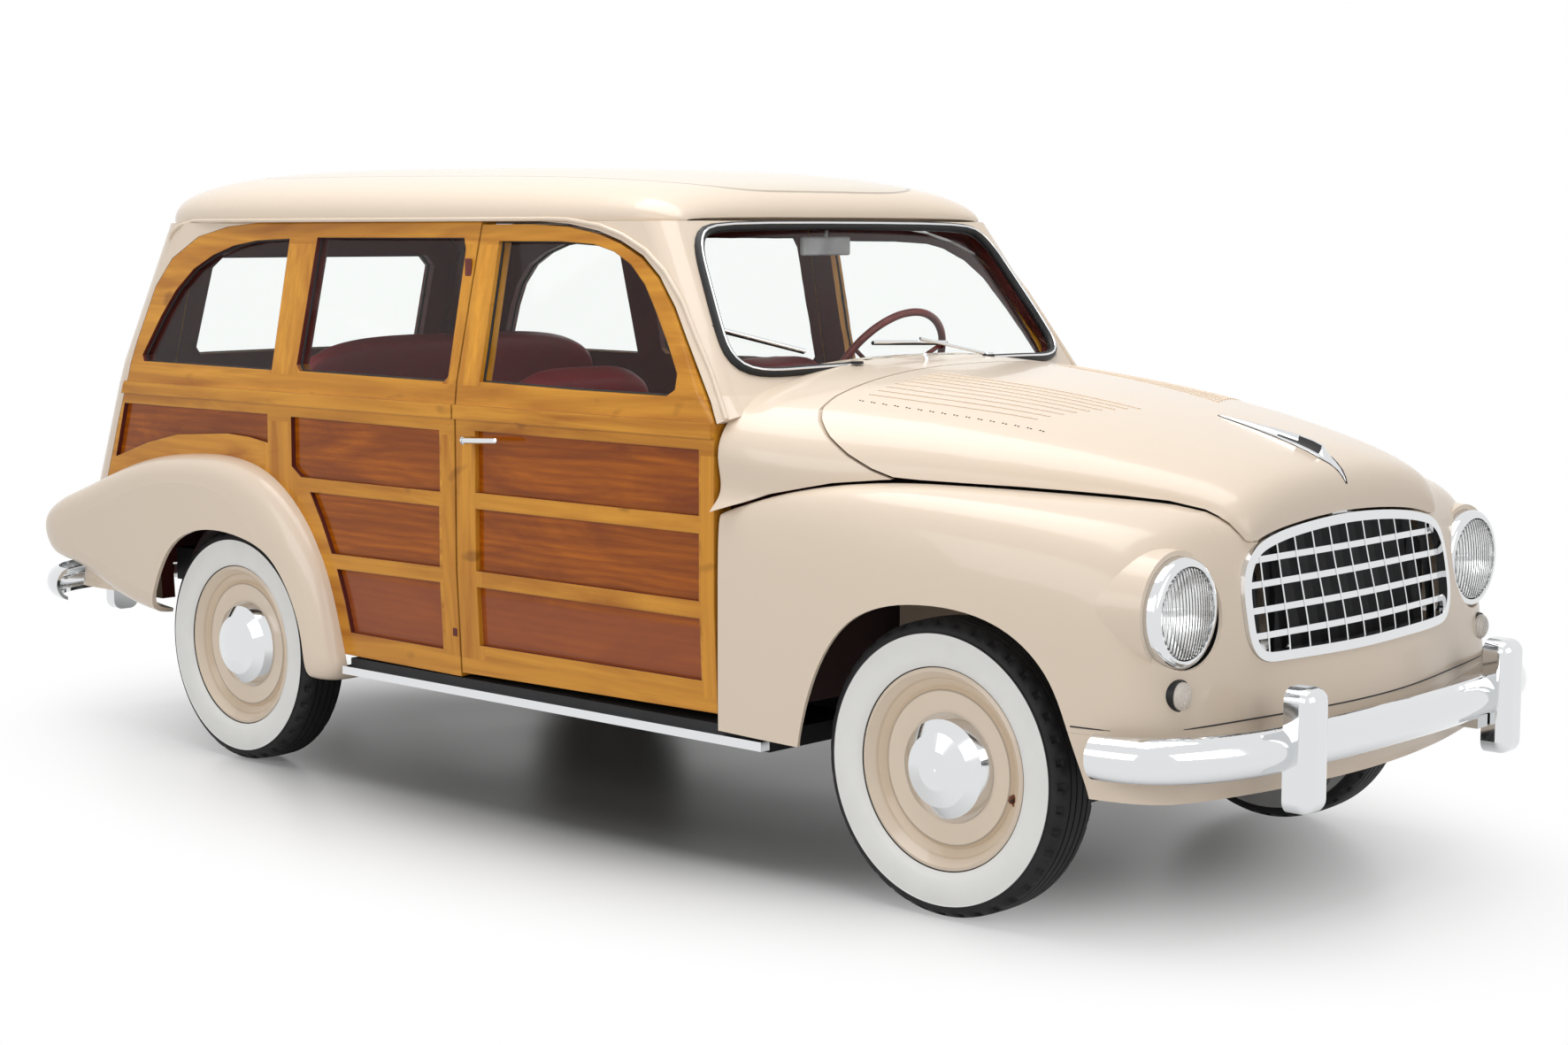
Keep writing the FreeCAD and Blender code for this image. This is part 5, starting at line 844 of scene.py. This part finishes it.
# Places along and up of the drip rail: over the door's arched front, straight along the roof, curled down
DRIP_RUN = [
    (0.752, 1.010), (0.722, 1.052), (0.683, 1.1105), (0.623, 1.1935), (0.572, 1.2650), (0.510, 1.3335),
    (0.442, 1.3805), (0.360, 1.4145), (0.280, 1.4360), (0.168, 1.4520), (0.100, 1.4535)]
DRIP_RUN += [(0.050 - 0.0475 * k, 1.4535) for k in range(31)]
DRIP_RUN += [(-1.395, 1.4500), (-1.430, 1.4400), (-1.455, 1.4240), (-1.468, 1.4050)]


class WAGON_OT_drip_rails(bpy.types.Operator):
    """Run the drip rail over the doors and curl its rear end down"""
    bl_idname = "wagon.drip_rails"
    bl_label = "Fit the drip rails"

    def execute(self, context):
        radius = context.scene.wagon_trim.gutter_radius
        wall = tree_of("roof", "tail_shell", "side_frames", "windscreen_frame")
        for side, label in SIDES:
            inward = Vector((0, -side, 0))
            line = landed(land(wall, Vector((x, side * BESIDE_BODY, z)), inward, 0.002) for x, z in DRIP_RUN)
            settle(strand(line, radius), "drip_rail_" + label, "cream_enamel", "body")
        return {"FINISHED"}


# Half a tyre's section, as places outwards along the axle and radii: bead, side wall, kerb line, tread
TYRE_HALF = [
    (0.0545, 0.2135), (0.0620, 0.2200), (0.0668, 0.2360), (0.0684, 0.2560), (0.0680, 0.2740),
    (0.0668, 0.2840), (0.0682, 0.2852), (0.0680, 0.2878), (0.0655, 0.2890), (0.0638, 0.2945),
    (0.0596, 0.3020), (0.0545, 0.3072), (0.0490, 0.3104), (0.0450, 0.3120), (0.0310, 0.3131),
    (0.0300, 0.3070), (0.0275, 0.3070), (0.0265, 0.3133), (0.0125, 0.3137), (0.0115, 0.3070),
    (0.0090, 0.3070), (0.0080, 0.3138)]
TYRE_STEPS = 120
NOTCH_EVERY = 3
NOTCH_SINK = 0.982


def shoulder_notch(face, centre):
    """Whether a face of the turned tyre is one that a notch is sunk into"""
    spot = face.calc_center_median() - centre
    lot = int(math.atan2(spot.z, spot.x) % math.tau / (math.tau / TYRE_STEPS))
    on_shoulder = 0.2990 < math.hypot(spot.x, spot.z) < 0.3115 and 0.046 < abs(spot.y) < 0.063
    return on_shoulder and lot % NOTCH_EVERY == 0


class WAGON_OT_tyres(bpy.types.Operator):
    """Turn the tyres, with a ribbed tread, a raised kerb line and notched shoulders"""
    bl_idname = "wagon.tyres"
    bl_label = "Make the tyres"

    def execute(self, context):
        profile = [(-a, r) for a, r in TYRE_HALF] + [(a, r) for a, r in reversed(TYRE_HALF)]
        centre = WHEELS["front_right"]
        first = turned(profile, centre, TYRE_STEPS, axis=(0, 1, 0), closed=True)
        with editing(first):
            pick(first, "FACE", lambda face: shoulder_notch(face, centre))
            bpy.ops.mesh.extrude_region_move(TRANSFORM_OT_translate={"value": (0, 0, 0)})
            bpy.ops.transform.resize(value=(NOTCH_SINK, 1, NOTCH_SINK), center_override=centre)
            bpy.ops.mesh.select_mode(type="VERT")
            bpy.ops.mesh.select_all(action="SELECT")
            bpy.ops.mesh.normals_make_consistent(inside=False)
        for wheel, place in WHEELS.items():
            take(first)
            bpy.ops.object.duplicate(linked=False)
            copy = bpy.context.object
            bpy.ops.transform.translate(value=place - centre)
            settle(copy, "road_tyre_" + wheel, "tyre_rubber_" + wheel.split("_")[0], "wheel_" + wheel)
            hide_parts("tyre_" + wheel)
        take(first)
        bpy.ops.object.delete()
        return {"FINISHED"}


# Lamp profiles, as heights forward along the axis and radii
HEADLAMP = Vector((1.902, -0.580, 0.682))
LENS_RADII = [0.0, 0.015, 0.030, 0.045, 0.060, 0.074, 0.084, 0.0900]
LENS_DOME = [(0.0135 * (1 - (r / 0.0905) ** 2), r) for r in LENS_RADII]
LENS_PROFILE = LENS_DOME + [(-0.006, 0.0900), (-0.006, 0.0860)]
LENS_PROFILE += [(a - 0.0035, r * 0.955) for a, r in reversed(LENS_DOME)]
BOWL = [(-0.062 + 0.052 * (r / 0.0900) ** 2, r) for r in LENS_RADII]
BOWL_PROFILE = BOWL + [(a - 0.002, min(0.0905, r + 0.0005) if r else 0.0) for a, r in reversed(BOWL)]
BULB_PROFILE = [(-0.024, 0.0), (-0.025, 0.005), (-0.029, 0.009), (-0.036, 0.011), (-0.046, 0.009),
                (-0.058, 0.006), (-0.060, 0.0)]
PARK_PROFILE = [(0.0, 0.0), (-0.0006, 0.007), (-0.0020, 0.014), (-0.0045, 0.020), (-0.0080, 0.0250),
                (-0.0120, 0.0275), (-0.0180, 0.0282), (-0.0400, 0.0282), (-0.0400, 0.0)]
BOOT_PROFILE = [(-0.0165, 0.0286), (-0.0160, 0.0300), (-0.0180, 0.0316), (-0.0240, 0.0322), (-0.0500, 0.0322),
                (-0.0500, 0.0286)]


class WAGON_OT_lamps(bpy.types.Operator):
    """Make the domed lamp glasses, their reflectors and bulbs, and the park lamps"""
    bl_idname = "wagon.lamps"
    bl_label = "Make the lamps"

    def execute(self, context):
        across = Vector((0, -2 * HEADLAMP.y, 0))
        lens = twin(turned(LENS_PROFILE, HEADLAMP, 72), across)
        settle(lens, "headlamp_lenses", "fluted_lamp_glass", "body")
        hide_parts("lamp_glasses")
        dish = turned(BOWL_PROFILE, HEADLAMP, 64)
        settle(twin(dish, across), "headlamp_reflectors", "lamp_reflector", "body")
        bulb = turned(BULB_PROFILE, HEADLAMP, 24)
        settle(twin(bulb, across), "headlamp_bulbs", "chrome_plate", "body")
        face = Vector((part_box("lamp_glasses")[1][0] - 0.0005, -PARK_LAMP.y, PARK_LAMP.z))
        across = Vector((0, 2 * PARK_LAMP.y, 0))
        button = turned(PARK_PROFILE, face, 40)
        settle(twin(button, across), "park_lenses", "ringed_lamp_glass", "body")
        boot = turned(BOOT_PROFILE, face, 40, closed=True)
        settle(twin(boot, across), "park_boots", "black_rubber", "body")
        return {"FINISHED"}


# Half the bonnet spear's section as shares of its width and height, and its stations along, wide and high
SPEAR_HALF = [(-1.0, -0.10), (-0.96, 0.10), (-0.66, 0.22), (-0.34, 0.42), (-0.16, 0.92), (0.0, 1.0)]
SPEAR_SECTION = SPEAR_HALF + [(-a, b) for a, b in reversed(SPEAR_HALF[:-1])]
SPEAR_STATIONS = [
    (1.585, 0.05, 0.002), (1.600, 0.22, 0.0045), (1.640, 0.42, 0.0070), (1.690, 0.60, 0.0110),
    (1.740, 0.76, 0.0160), (1.790, 0.92, 0.0210), (1.825, 1.00, 0.0240), (1.846, 1.00, 0.0240),
    (1.858, 0.90, 0.0120), (1.872, 0.66, 0.0080), (1.888, 0.40, 0.0060), (1.899, 0.22, 0.0040),
    (1.905, 0.05, 0.0015)]
SPEAR_INLAY_SPAN = (1.735, 1.850)
SPEAR_INLAY_REACH = (0.22, 0.62)
SEAM_RADIUS = 0.0017


class WAGON_OT_spear(bpy.types.Operator):
    """Raise the bright spear, with its dark inlays, on the nose of the bonnet"""
    bl_idname = "wagon.spear"
    bl_label = "Make the bonnet spear"

    def execute(self, context):
        half = context.scene.wagon_trim.spear_half
        top = tree_of("bonnet")
        spots = [(drop(top, x, 0.0), half * wide, high) for x, wide, high in SPEAR_STATIONS]
        stations = [station for station in spots if station[0] is not None]
        spear = settle(sweep(SPEAR_SECTION, stations), "bonnet_spear", "chrome_plate", "bonnet")
        spear.data.materials.append(bpy.data.materials["chassis_black"])
        for face in spear.data.polygons:
            along = SPEAR_INLAY_SPAN[0] < face.center.x < SPEAR_INLAY_SPAN[1]
            aside = SPEAR_INLAY_REACH[0] < abs(face.center.y) / half < SPEAR_INLAY_REACH[1]
            if along and aside and abs(face.normal.y) > 0.2:
                face.material_index = 1
        edges = []
        for side, label in SIDES:
            line = [spot + Vector((0, side * wide * 0.99, 0.0003)) for spot, wide, high in stations]
            edges.append(strand([Vector((p.x, p.y, drop(top, p.x, p.y).z)) for p in line], SEAM_RADIUS))
        settle(joined(edges), "bonnet_spear_seat", "chassis_black", "bonnet")
        return {"FINISHED"}


RIB_COUNT, RIB_PITCH, RIB_POINTS = 9, 0.030, 16
RIB_REAR, RIB_FRONT = 0.470, 0.395
# Black dots in pairs stand for the vent slots: painted shade where the openings look dark
SLOT_SHADE_PAIRS, SLOT_SHADE_RADIUS, SLOT_SHADE_OFFSETS = 16, 0.0026, (-0.004, 0.004)


def bonnet_rib(top, side, number):
    """One fine rib, drawn in towards the nose"""
    rear, front = RIB_REAR - RIB_PITCH * number, RIB_FRONT - RIB_PITCH * number
    shares = [step / (RIB_POINTS - 1) for step in range(RIB_POINTS)]
    line = landed(drop(top, 0.985 + (0.405 + 0.012 * number) * share, side * (rear + (front - rear) * share))
                  for share in shares)
    return strand([spot + UP * 0.0008 for spot in line], SEAM_RADIUS)


def slot_shade_dot(spot):
    """One flat round black dot on the bonnet, painted shade for a vent slot"""
    deselect()
    bpy.ops.mesh.primitive_uv_sphere_add(segments=8, ring_count=5, radius=SLOT_SHADE_RADIUS, location=spot)
    bpy.ops.transform.resize(value=(1, 1, 0.5), center_override=spot)
    return bpy.context.object


class WAGON_OT_bonnet_vents(bpy.types.Operator):
    """Press the fine ribs into the bonnet and set beside them a row of paired black dots, painted shade for
    the vent slots
    """
    bl_idname = "wagon.bonnet_vents"
    bl_label = "Make the bonnet ribs"

    def execute(self, context):
        top = tree_of("bonnet")
        for side, label in SIDES:
            ribs = [bonnet_rib(top, side, number) for number in range(RIB_COUNT)]
            settle(joined(ribs), "bonnet_ribs_" + label, "cream_enamel", "bonnet")
            shares = [pair / (SLOT_SHADE_PAIRS - 1) for pair in range(SLOT_SHADE_PAIRS)]
            spots = landed(drop(top, 0.993 + 0.440 * share + offset, side * (0.505 - 0.070 * share))
                           for share in shares for offset in SLOT_SHADE_OFFSETS)
            # Painted shade: black dots for the dark vent slots
            slot_shades = joined([slot_shade_dot(spot) for spot in spots])
            smooth_under(60)
            settle(slot_shades, "bonnet_buttons_" + label, "chassis_black", "bonnet")
        return {"FINISHED"}


# A black sheet behind the grille bars, painted shade for the dark space behind them
SHADE_SHEET_PLACE = 1.8635
SHADE_SHEET_OUTLINE = [
    (-0.408, 0.640), (-0.402, 0.570), (-0.350, 0.530), (0.0, 0.525), (0.350, 0.530), (0.402, 0.570),
    (0.408, 0.640), (0.400, 0.725), (0.345, 0.790), (0.220, 0.822), (0.0, 0.835), (-0.220, 0.822),
    (-0.345, 0.790), (-0.400, 0.725)]


class WAGON_OT_grille_painted_shade(bpy.types.Operator):
    """Set a dull black sheet behind the grille, painted shade for the dark space seen between the bars"""
    bl_idname = "wagon.grille_backing"
    bl_label = "Back the grille"

    def execute(self, context):
        item = polyline([Vector((SHADE_SHEET_PLACE, y, z)) for y, z in SHADE_SHEET_OUTLINE], closed=True)
        with editing(item):
            bpy.ops.mesh.edge_face_add()
            bpy.ops.mesh.inset(thickness=0.02)
            bpy.ops.transform.translate(value=(-0.006, 0, 0))
        wall = item.modifiers.new("sheet", "SOLIDIFY")
        wall.thickness = 0.002
        bpy.ops.object.modifier_apply(modifier=wall.name)
        with editing(item):
            merge_outward(TIGHT_MERGE)
        # Painted shade: the black sheet closes the grille opening
        settle(item, "grille_baffle", "chassis_black", "body")
        return {"FINISHED"}


APRON_SEAM_MIDDLE = Vector((1.45, 0.0, 0.458))
APRON_SEAM_END = 1.700


class WAGON_OT_apron_seam(bpy.types.Operator):
    """Draw the dark seam of the apron round the nose, from arch to arch"""
    bl_idname = "wagon.apron_seam"
    bl_label = "Draw the apron seam"

    def execute(self, context):
        nose = tree_of("front_fenders", "nose_panel", "front_apron")
        rays = [Vector((math.cos(angle), math.sin(angle), 0))
                for angle in (math.radians(-72 + 1.5 * step) for step in range(97))]
        spots = landed(land(nose, APRON_SEAM_MIDDLE + ray * 1.3, -ray) for ray in rays)
        line = evened([spot for spot in spots if spot.x > APRON_SEAM_END], 3, closed=False)
        settle(strand(line, SEAM_RADIUS), "apron_seam", "chassis_black", "body")
        return {"FINISHED"}


# The wiper blades' two ends, across and up, and the feet of their arms
BLADES = (((-0.580, 1.2035), (-0.377, 1.150)), ((-0.149, 1.164), (0.114, 1.156)))
WIPER_FEET = (Vector((0.7782, -0.274, 1.119)), Vector((0.7782, 0.217, 1.119)))
WASHER_JET = (0.8307, -0.0859)
BLADE_RADIUS, BUSH_RADIUS, NOZZLE_RADIUS = 0.0052, 0.0150, 0.0055


class WAGON_OT_wiper_rubbers(bpy.types.Operator):
    """Give the wipers their rubbers and bushes, and set the washer jet"""
    bl_idname = "wagon.wiper_rubbers"
    bl_label = "Make the wiper rubbers"

    def execute(self, context):
        wall = tree_of("windscreen_frame", "windscreen")
        made = []
        for (y0, z0), (y1, z1) in BLADES:
            starts = [Vector((AHEAD_OF_SCREEN, y0 + (y1 - y0) * share, z0 + (z1 - z0) * share - 0.005))
                      for share in (step / 12 for step in range(13))]
            line = landed(land(wall, start, AFT) for start in starts)
            made.append(strand([spot + SCREEN_LEAN * 0.0045 for spot in line], BLADE_RADIUS))
        for foot in WIPER_FEET:
            made.append(strand([foot, foot + UP * 0.006], BUSH_RADIUS))
        settle(joined(made), "wiper_rubbers", "black_rubber", "body")
        jet = drop(tree_of("scuttle"), *WASHER_JET)
        nozzle = strand([jet, jet + UP * 0.008, jet + Vector((-0.006, 0, 0.013))], NOZZLE_RADIUS)
        settle(nozzle, "washer_jet", "chrome_plate", "body")
        return {"FINISHED"}


# The pads: name, the solid it stands for, middle, half size, lean in degrees, corner, channels, crown
PAD_LEAN, FRONT_BACK_LEAN, REAR_BACK_LEAN = -2, -64, -72
SEAT_PLACE = 0.351
PADS = [row for side, label in SIDES for row in (
    ("front_cushion_" + label, "front_seats", Vector((0.214, side * SEAT_PLACE, 0.640)),
     Vector((0.224, 0.230, 0.054)), PAD_LEAN, 5.0, 8, 0.10),
    ("front_back_" + label, "front_seats", Vector((-0.138, side * SEAT_PLACE, 0.882)),
     Vector((0.216, 0.230, 0.056)), FRONT_BACK_LEAN, 4.0, 8, 0.10))]
PADS += [
    ("rear_cushion", "rear_seat", Vector((-0.748, 0.0, 0.642)), Vector((0.182, 0.545, 0.066)),
     PAD_LEAN, 5.0, 16, 0.08),
    ("rear_back", "rear_seat", Vector((-1.030, 0.0, 0.922)), Vector((0.222, 0.545, 0.048)),
     REAR_BACK_LEAN, 4.0, 16, 0.08)]
PAD_CUTS = 59
CHANNEL_DEPTH = 0.0120
CHANNEL_END, CHANNEL_SIDE = (0.84, 14), (0.90, 16)
PAD_WAIST = 0.022
PIPING_REACH = 0.93
PIPING_POINTS = 96


def eased_off(place, limit, slope):
    """1 well inside a limit, falling to 0 at it"""
    return max(0.0, min(1.0, (limit - abs(place)) * slope))


def pad(name, centre, half, lean, corner, channels, crown):
    """A crowned pad with sewn channels on the side that is sat on, and the line of its piping.
    Its own axes are depth (or height), width and thickness."""
    deselect()
    bpy.ops.mesh.primitive_cube_add(size=2, location=(0, 0, 0))
    item = bpy.context.object
    with editing(item):
        bpy.ops.mesh.subdivide(number_cuts=PAD_CUTS, smoothness=0.0)
    turn = Matrix.Rotation(math.radians(lean), 3, "Y")

    def shaped(u, v, w):
        plan = (abs(u) ** corner + abs(v) ** corner) ** (4.0 / corner)
        share = (plan + w ** 4) ** -0.25
        u, v, w = u * share, v * share, w * share
        dome = (1 - u * u) * (1 - v * v)
        if w > 0.25:
            w += crown * dome
            groove = (1 - abs(math.sin(math.pi * channels * (v + 1) / 2))) ** 3
            w -= groove * eased_off(u, *CHANNEL_END) * eased_off(v, *CHANNEL_SIDE) * CHANNEL_DEPTH / half.z
        waist = 1 - PAD_WAIST * (1 - w * w) * dome
        return turn @ Vector((u * half.x * waist, v * half.y * waist, w * half.z)) + centre

    for vertex in item.data.vertices:
        vertex.co = shaped(*vertex.co)
    with editing(item):
        bpy.ops.mesh.normals_make_consistent(inside=False)
    bpy.ops.object.shade_smooth()
    settle(item, name, "red_leather", "body")
    rim = []
    for step in range(PIPING_POINTS):
        angle = math.tau * step / PIPING_POINTS
        u, v = math.cos(angle), math.sin(angle)
        reach = (abs(u) ** corner + abs(v) ** corner) ** (-1.0 / corner) * PIPING_REACH
        rim.append(shaped(u * reach, v * reach, (1 - PIPING_REACH ** 4) ** 0.25))
    return item, rim


class WAGON_OT_seats(bpy.types.Operator):
    """Upholster the two front seats and the rear bench in pleated red leather"""
    bl_idname = "wagon.seats"
    bl_label = "Upholster the seats"

    def execute(self, context):
        piping = []
        for name, stands_for, *form in PADS:
            item, rim = pad(name, *form)
            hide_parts(stands_for)
            piping.append(strand(rim, context.scene.wagon_trim.piping_radius, closed=True))
        settle(joined(piping), "seat_piping", "maroon_lining", "body")
        return {"FINISHED"}


# The recesses in each centre post, as places up and half sizes along and up
POCKET_PLACE = -0.169
POCKETS = ((1.322, 0.0115, 0.036), (0.440, 0.0080, 0.010))


def pocket(spot, wide, high):
    deselect()
    bpy.ops.mesh.primitive_cube_add(size=1, location=spot, scale=(wide * 2, 0.003, high * 2))
    bpy.ops.object.transform_apply(location=False, rotation=False, scale=True)
    item = bpy.context.object
    with editing(item):
        bpy.ops.mesh.bevel(offset=0.0012, segments=2)
    return item


class WAGON_OT_post_pockets(bpy.types.Operator):
    """Line the signal pocket and the small strike pocket of each centre post"""
    bl_idname = "wagon.post_pockets"
    bl_label = "Make the post pockets"

    def execute(self, context):
        wall = tree_of("side_frames")
        for side, label in SIDES:
            inward = Vector((0, -side, 0))
            spots = landed(land(wall, Vector((POCKET_PLACE, side * BESIDE_BODY, z)), inward)
                           for z, wide, high in POCKETS)
            made = [pocket(spot, wide, high) for spot, (z, wide, high) in zip(spots, POCKETS)]
            settle(joined(made), "post_pocket_" + label, "maroon_lining", "body")
        return {"FINISHED"}


# Floor colours and spans; the darker colour is a painted shadow under the wagon
FLOOR_GREY = (0.66, 0.66, 0.66)
FLOOR_PAINTED_SHADOW = (0.17, 0.165, 0.16)
FLOOR_REACH = (0.40, 0.72)
PAINTED_SHADOW_SPAN = (0.30, 0.78)
WHITE_SPAN = (0.50, 1.08)


def studio_floor():
    """Grey gloss floor, darkened under the wagon by a painted shadow, that fades to plain white all round it
    """
    bpy.ops.mesh.primitive_plane_add(size=60.0, location=(0, 0, 0))
    floor = bpy.context.object
    floor.name = "studio_floor"
    pale = Finish("studio_floor", FLOOR_GREY, Roughness=0.34, Specular_IOR_Level=0.35)
    pale.gloss(pale.noise(0.8, 2.0), 0.3, 0.7, 0.26, 0.36)
    x, y, z = pale.axes()
    away = pale.reach(pale.product(x, FLOOR_REACH[0]), pale.product(y, FLOOR_REACH[1]))
    # Painted shadow: the floor's colour darkens towards the middle of the wagon
    pale.paint(pale.mix(pale.levels(away, *PAINTED_SHADOW_SPAN, smooth=True), FLOOR_PAINTED_SHADOW, FLOOR_GREY))
    white = pale.add("ShaderNodeEmission").outputs[0]
    far = pale.product(pale.levels(away, *WHITE_SPAN, smooth=True), pale.seen())
    blend = pale.add("ShaderNodeMixShader", {0: far, 1: pale.shader.outputs[0], 2: white})
    pale.put(pale.tree.nodes["Material Output"].inputs["Surface"], blend.outputs[0])
    floor.data.materials.append(pale.material)


class WAGON_OT_studio(bpy.types.Operator):
    """Set the camera, the pale floor and the soft lamps"""
    bl_idname = "wagon.studio"
    bl_label = "Set the studio"

    def execute(self, context):
        scene = context.scene
        studio = scene.wagon_studio
        deselect()
        bpy.ops.object.camera_add(location=studio.camera_place, rotation=(
            math.pi / 2 + studio.tilt, 0.0, studio.heading - math.pi / 2))
        camera = bpy.context.object
        camera.name = "studio_camera"
        camera.data.lens = studio.lens
        camera.data.sensor_width = 36.0
        camera.data.clip_end = 200.0
        scene.camera = camera
        studio_floor()
        key, side = studio.key_power, studio.side_power
        for name, place, turn, wide, deep, power in (
                ("lamp_over", (0.3, -0.6, 5.2), (0, 0, 0), 5.5, 3.6, key),
                ("lamp_side", (0.5, -6.0, 2.6), (math.radians(66), 0, 0), 7.0, 2.4, side),
                ("lamp_front", (6.2, -1.0, 2.4), (0, math.radians(68), 0), 2.4, 4.0, side * 0.45)):
            bpy.ops.object.light_add(type="AREA", location=place, rotation=turn)
            lamp = bpy.context.object
            lamp.name = name
            lamp.data.shape = "RECTANGLE"
            lamp.data.size = wide
            lamp.data.size_y = deep
            lamp.data.energy = power
        world = bpy.data.worlds.new("studio_world")
        scene.world = world
        world.use_nodes = True
        sky = Nodes(world.node_tree)
        even = sky.tree.nodes["Background"].inputs
        sky.put(even["Strength"], sky.levels(sky.seen(), 0.0, 1.0, studio.sky_level, 1.0))
        sky.put(even["Color"], (1.0, 1.0, 1.0))
        scene.view_settings.view_transform = "Standard"
        return {"FINISHED"}


class WAGON_PT_panel(bpy.types.Panel):
    """Sidebar list of the wagon's steps and sizes"""
    bl_idname = "WAGON_PT_panel"
    bl_label = "Wagon"
    bl_space_type = "VIEW_3D"
    bl_region_type = "UI"
    bl_category = "Wagon"

    def draw(self, context):
        layout = self.layout
        for operator in STEPS:
            layout.operator(operator.bl_idname)
        for key in GROUPS:
            group = getattr(context.scene, key)
            box = layout.box()
            for size in group.__annotations__:
                box.prop(group, size)


STEPS = (
    WAGON_OT_finishes,
    WAGON_OT_windscreen_seal,
    WAGON_OT_gaskets,
    WAGON_OT_drip_rails,
    WAGON_OT_tyres,
    WAGON_OT_lamps,
    WAGON_OT_grille_painted_shade,
    WAGON_OT_spear,
    WAGON_OT_bonnet_vents,
    WAGON_OT_apron_seam,
    WAGON_OT_wiper_rubbers,
    WAGON_OT_seats,
    WAGON_OT_post_pockets,
    WAGON_OT_studio,
)
GROUPS = {"wagon_finish": WagonFinish, "wagon_trim": WagonTrim, "wagon_studio": WagonStudio}
CLASSES = (*GROUPS.values(), *STEPS, WAGON_PT_panel)


def register():
    for item in CLASSES:
        bpy.utils.register_class(item)
    for key, group in GROUPS.items():
        setattr(bpy.types.Scene, key, bpy.props.PointerProperty(type=group))


def unregister():
    for key in GROUPS:
        delattr(bpy.types.Scene, key)
    for item in reversed(CLASSES):
        bpy.utils.unregister_class(item)


def main():
    register()
    for item in STEPS:
        group, step = item.bl_idname.split(".")
        getattr(getattr(bpy.ops, group), step)()


if __name__ == "__main__":
    main()
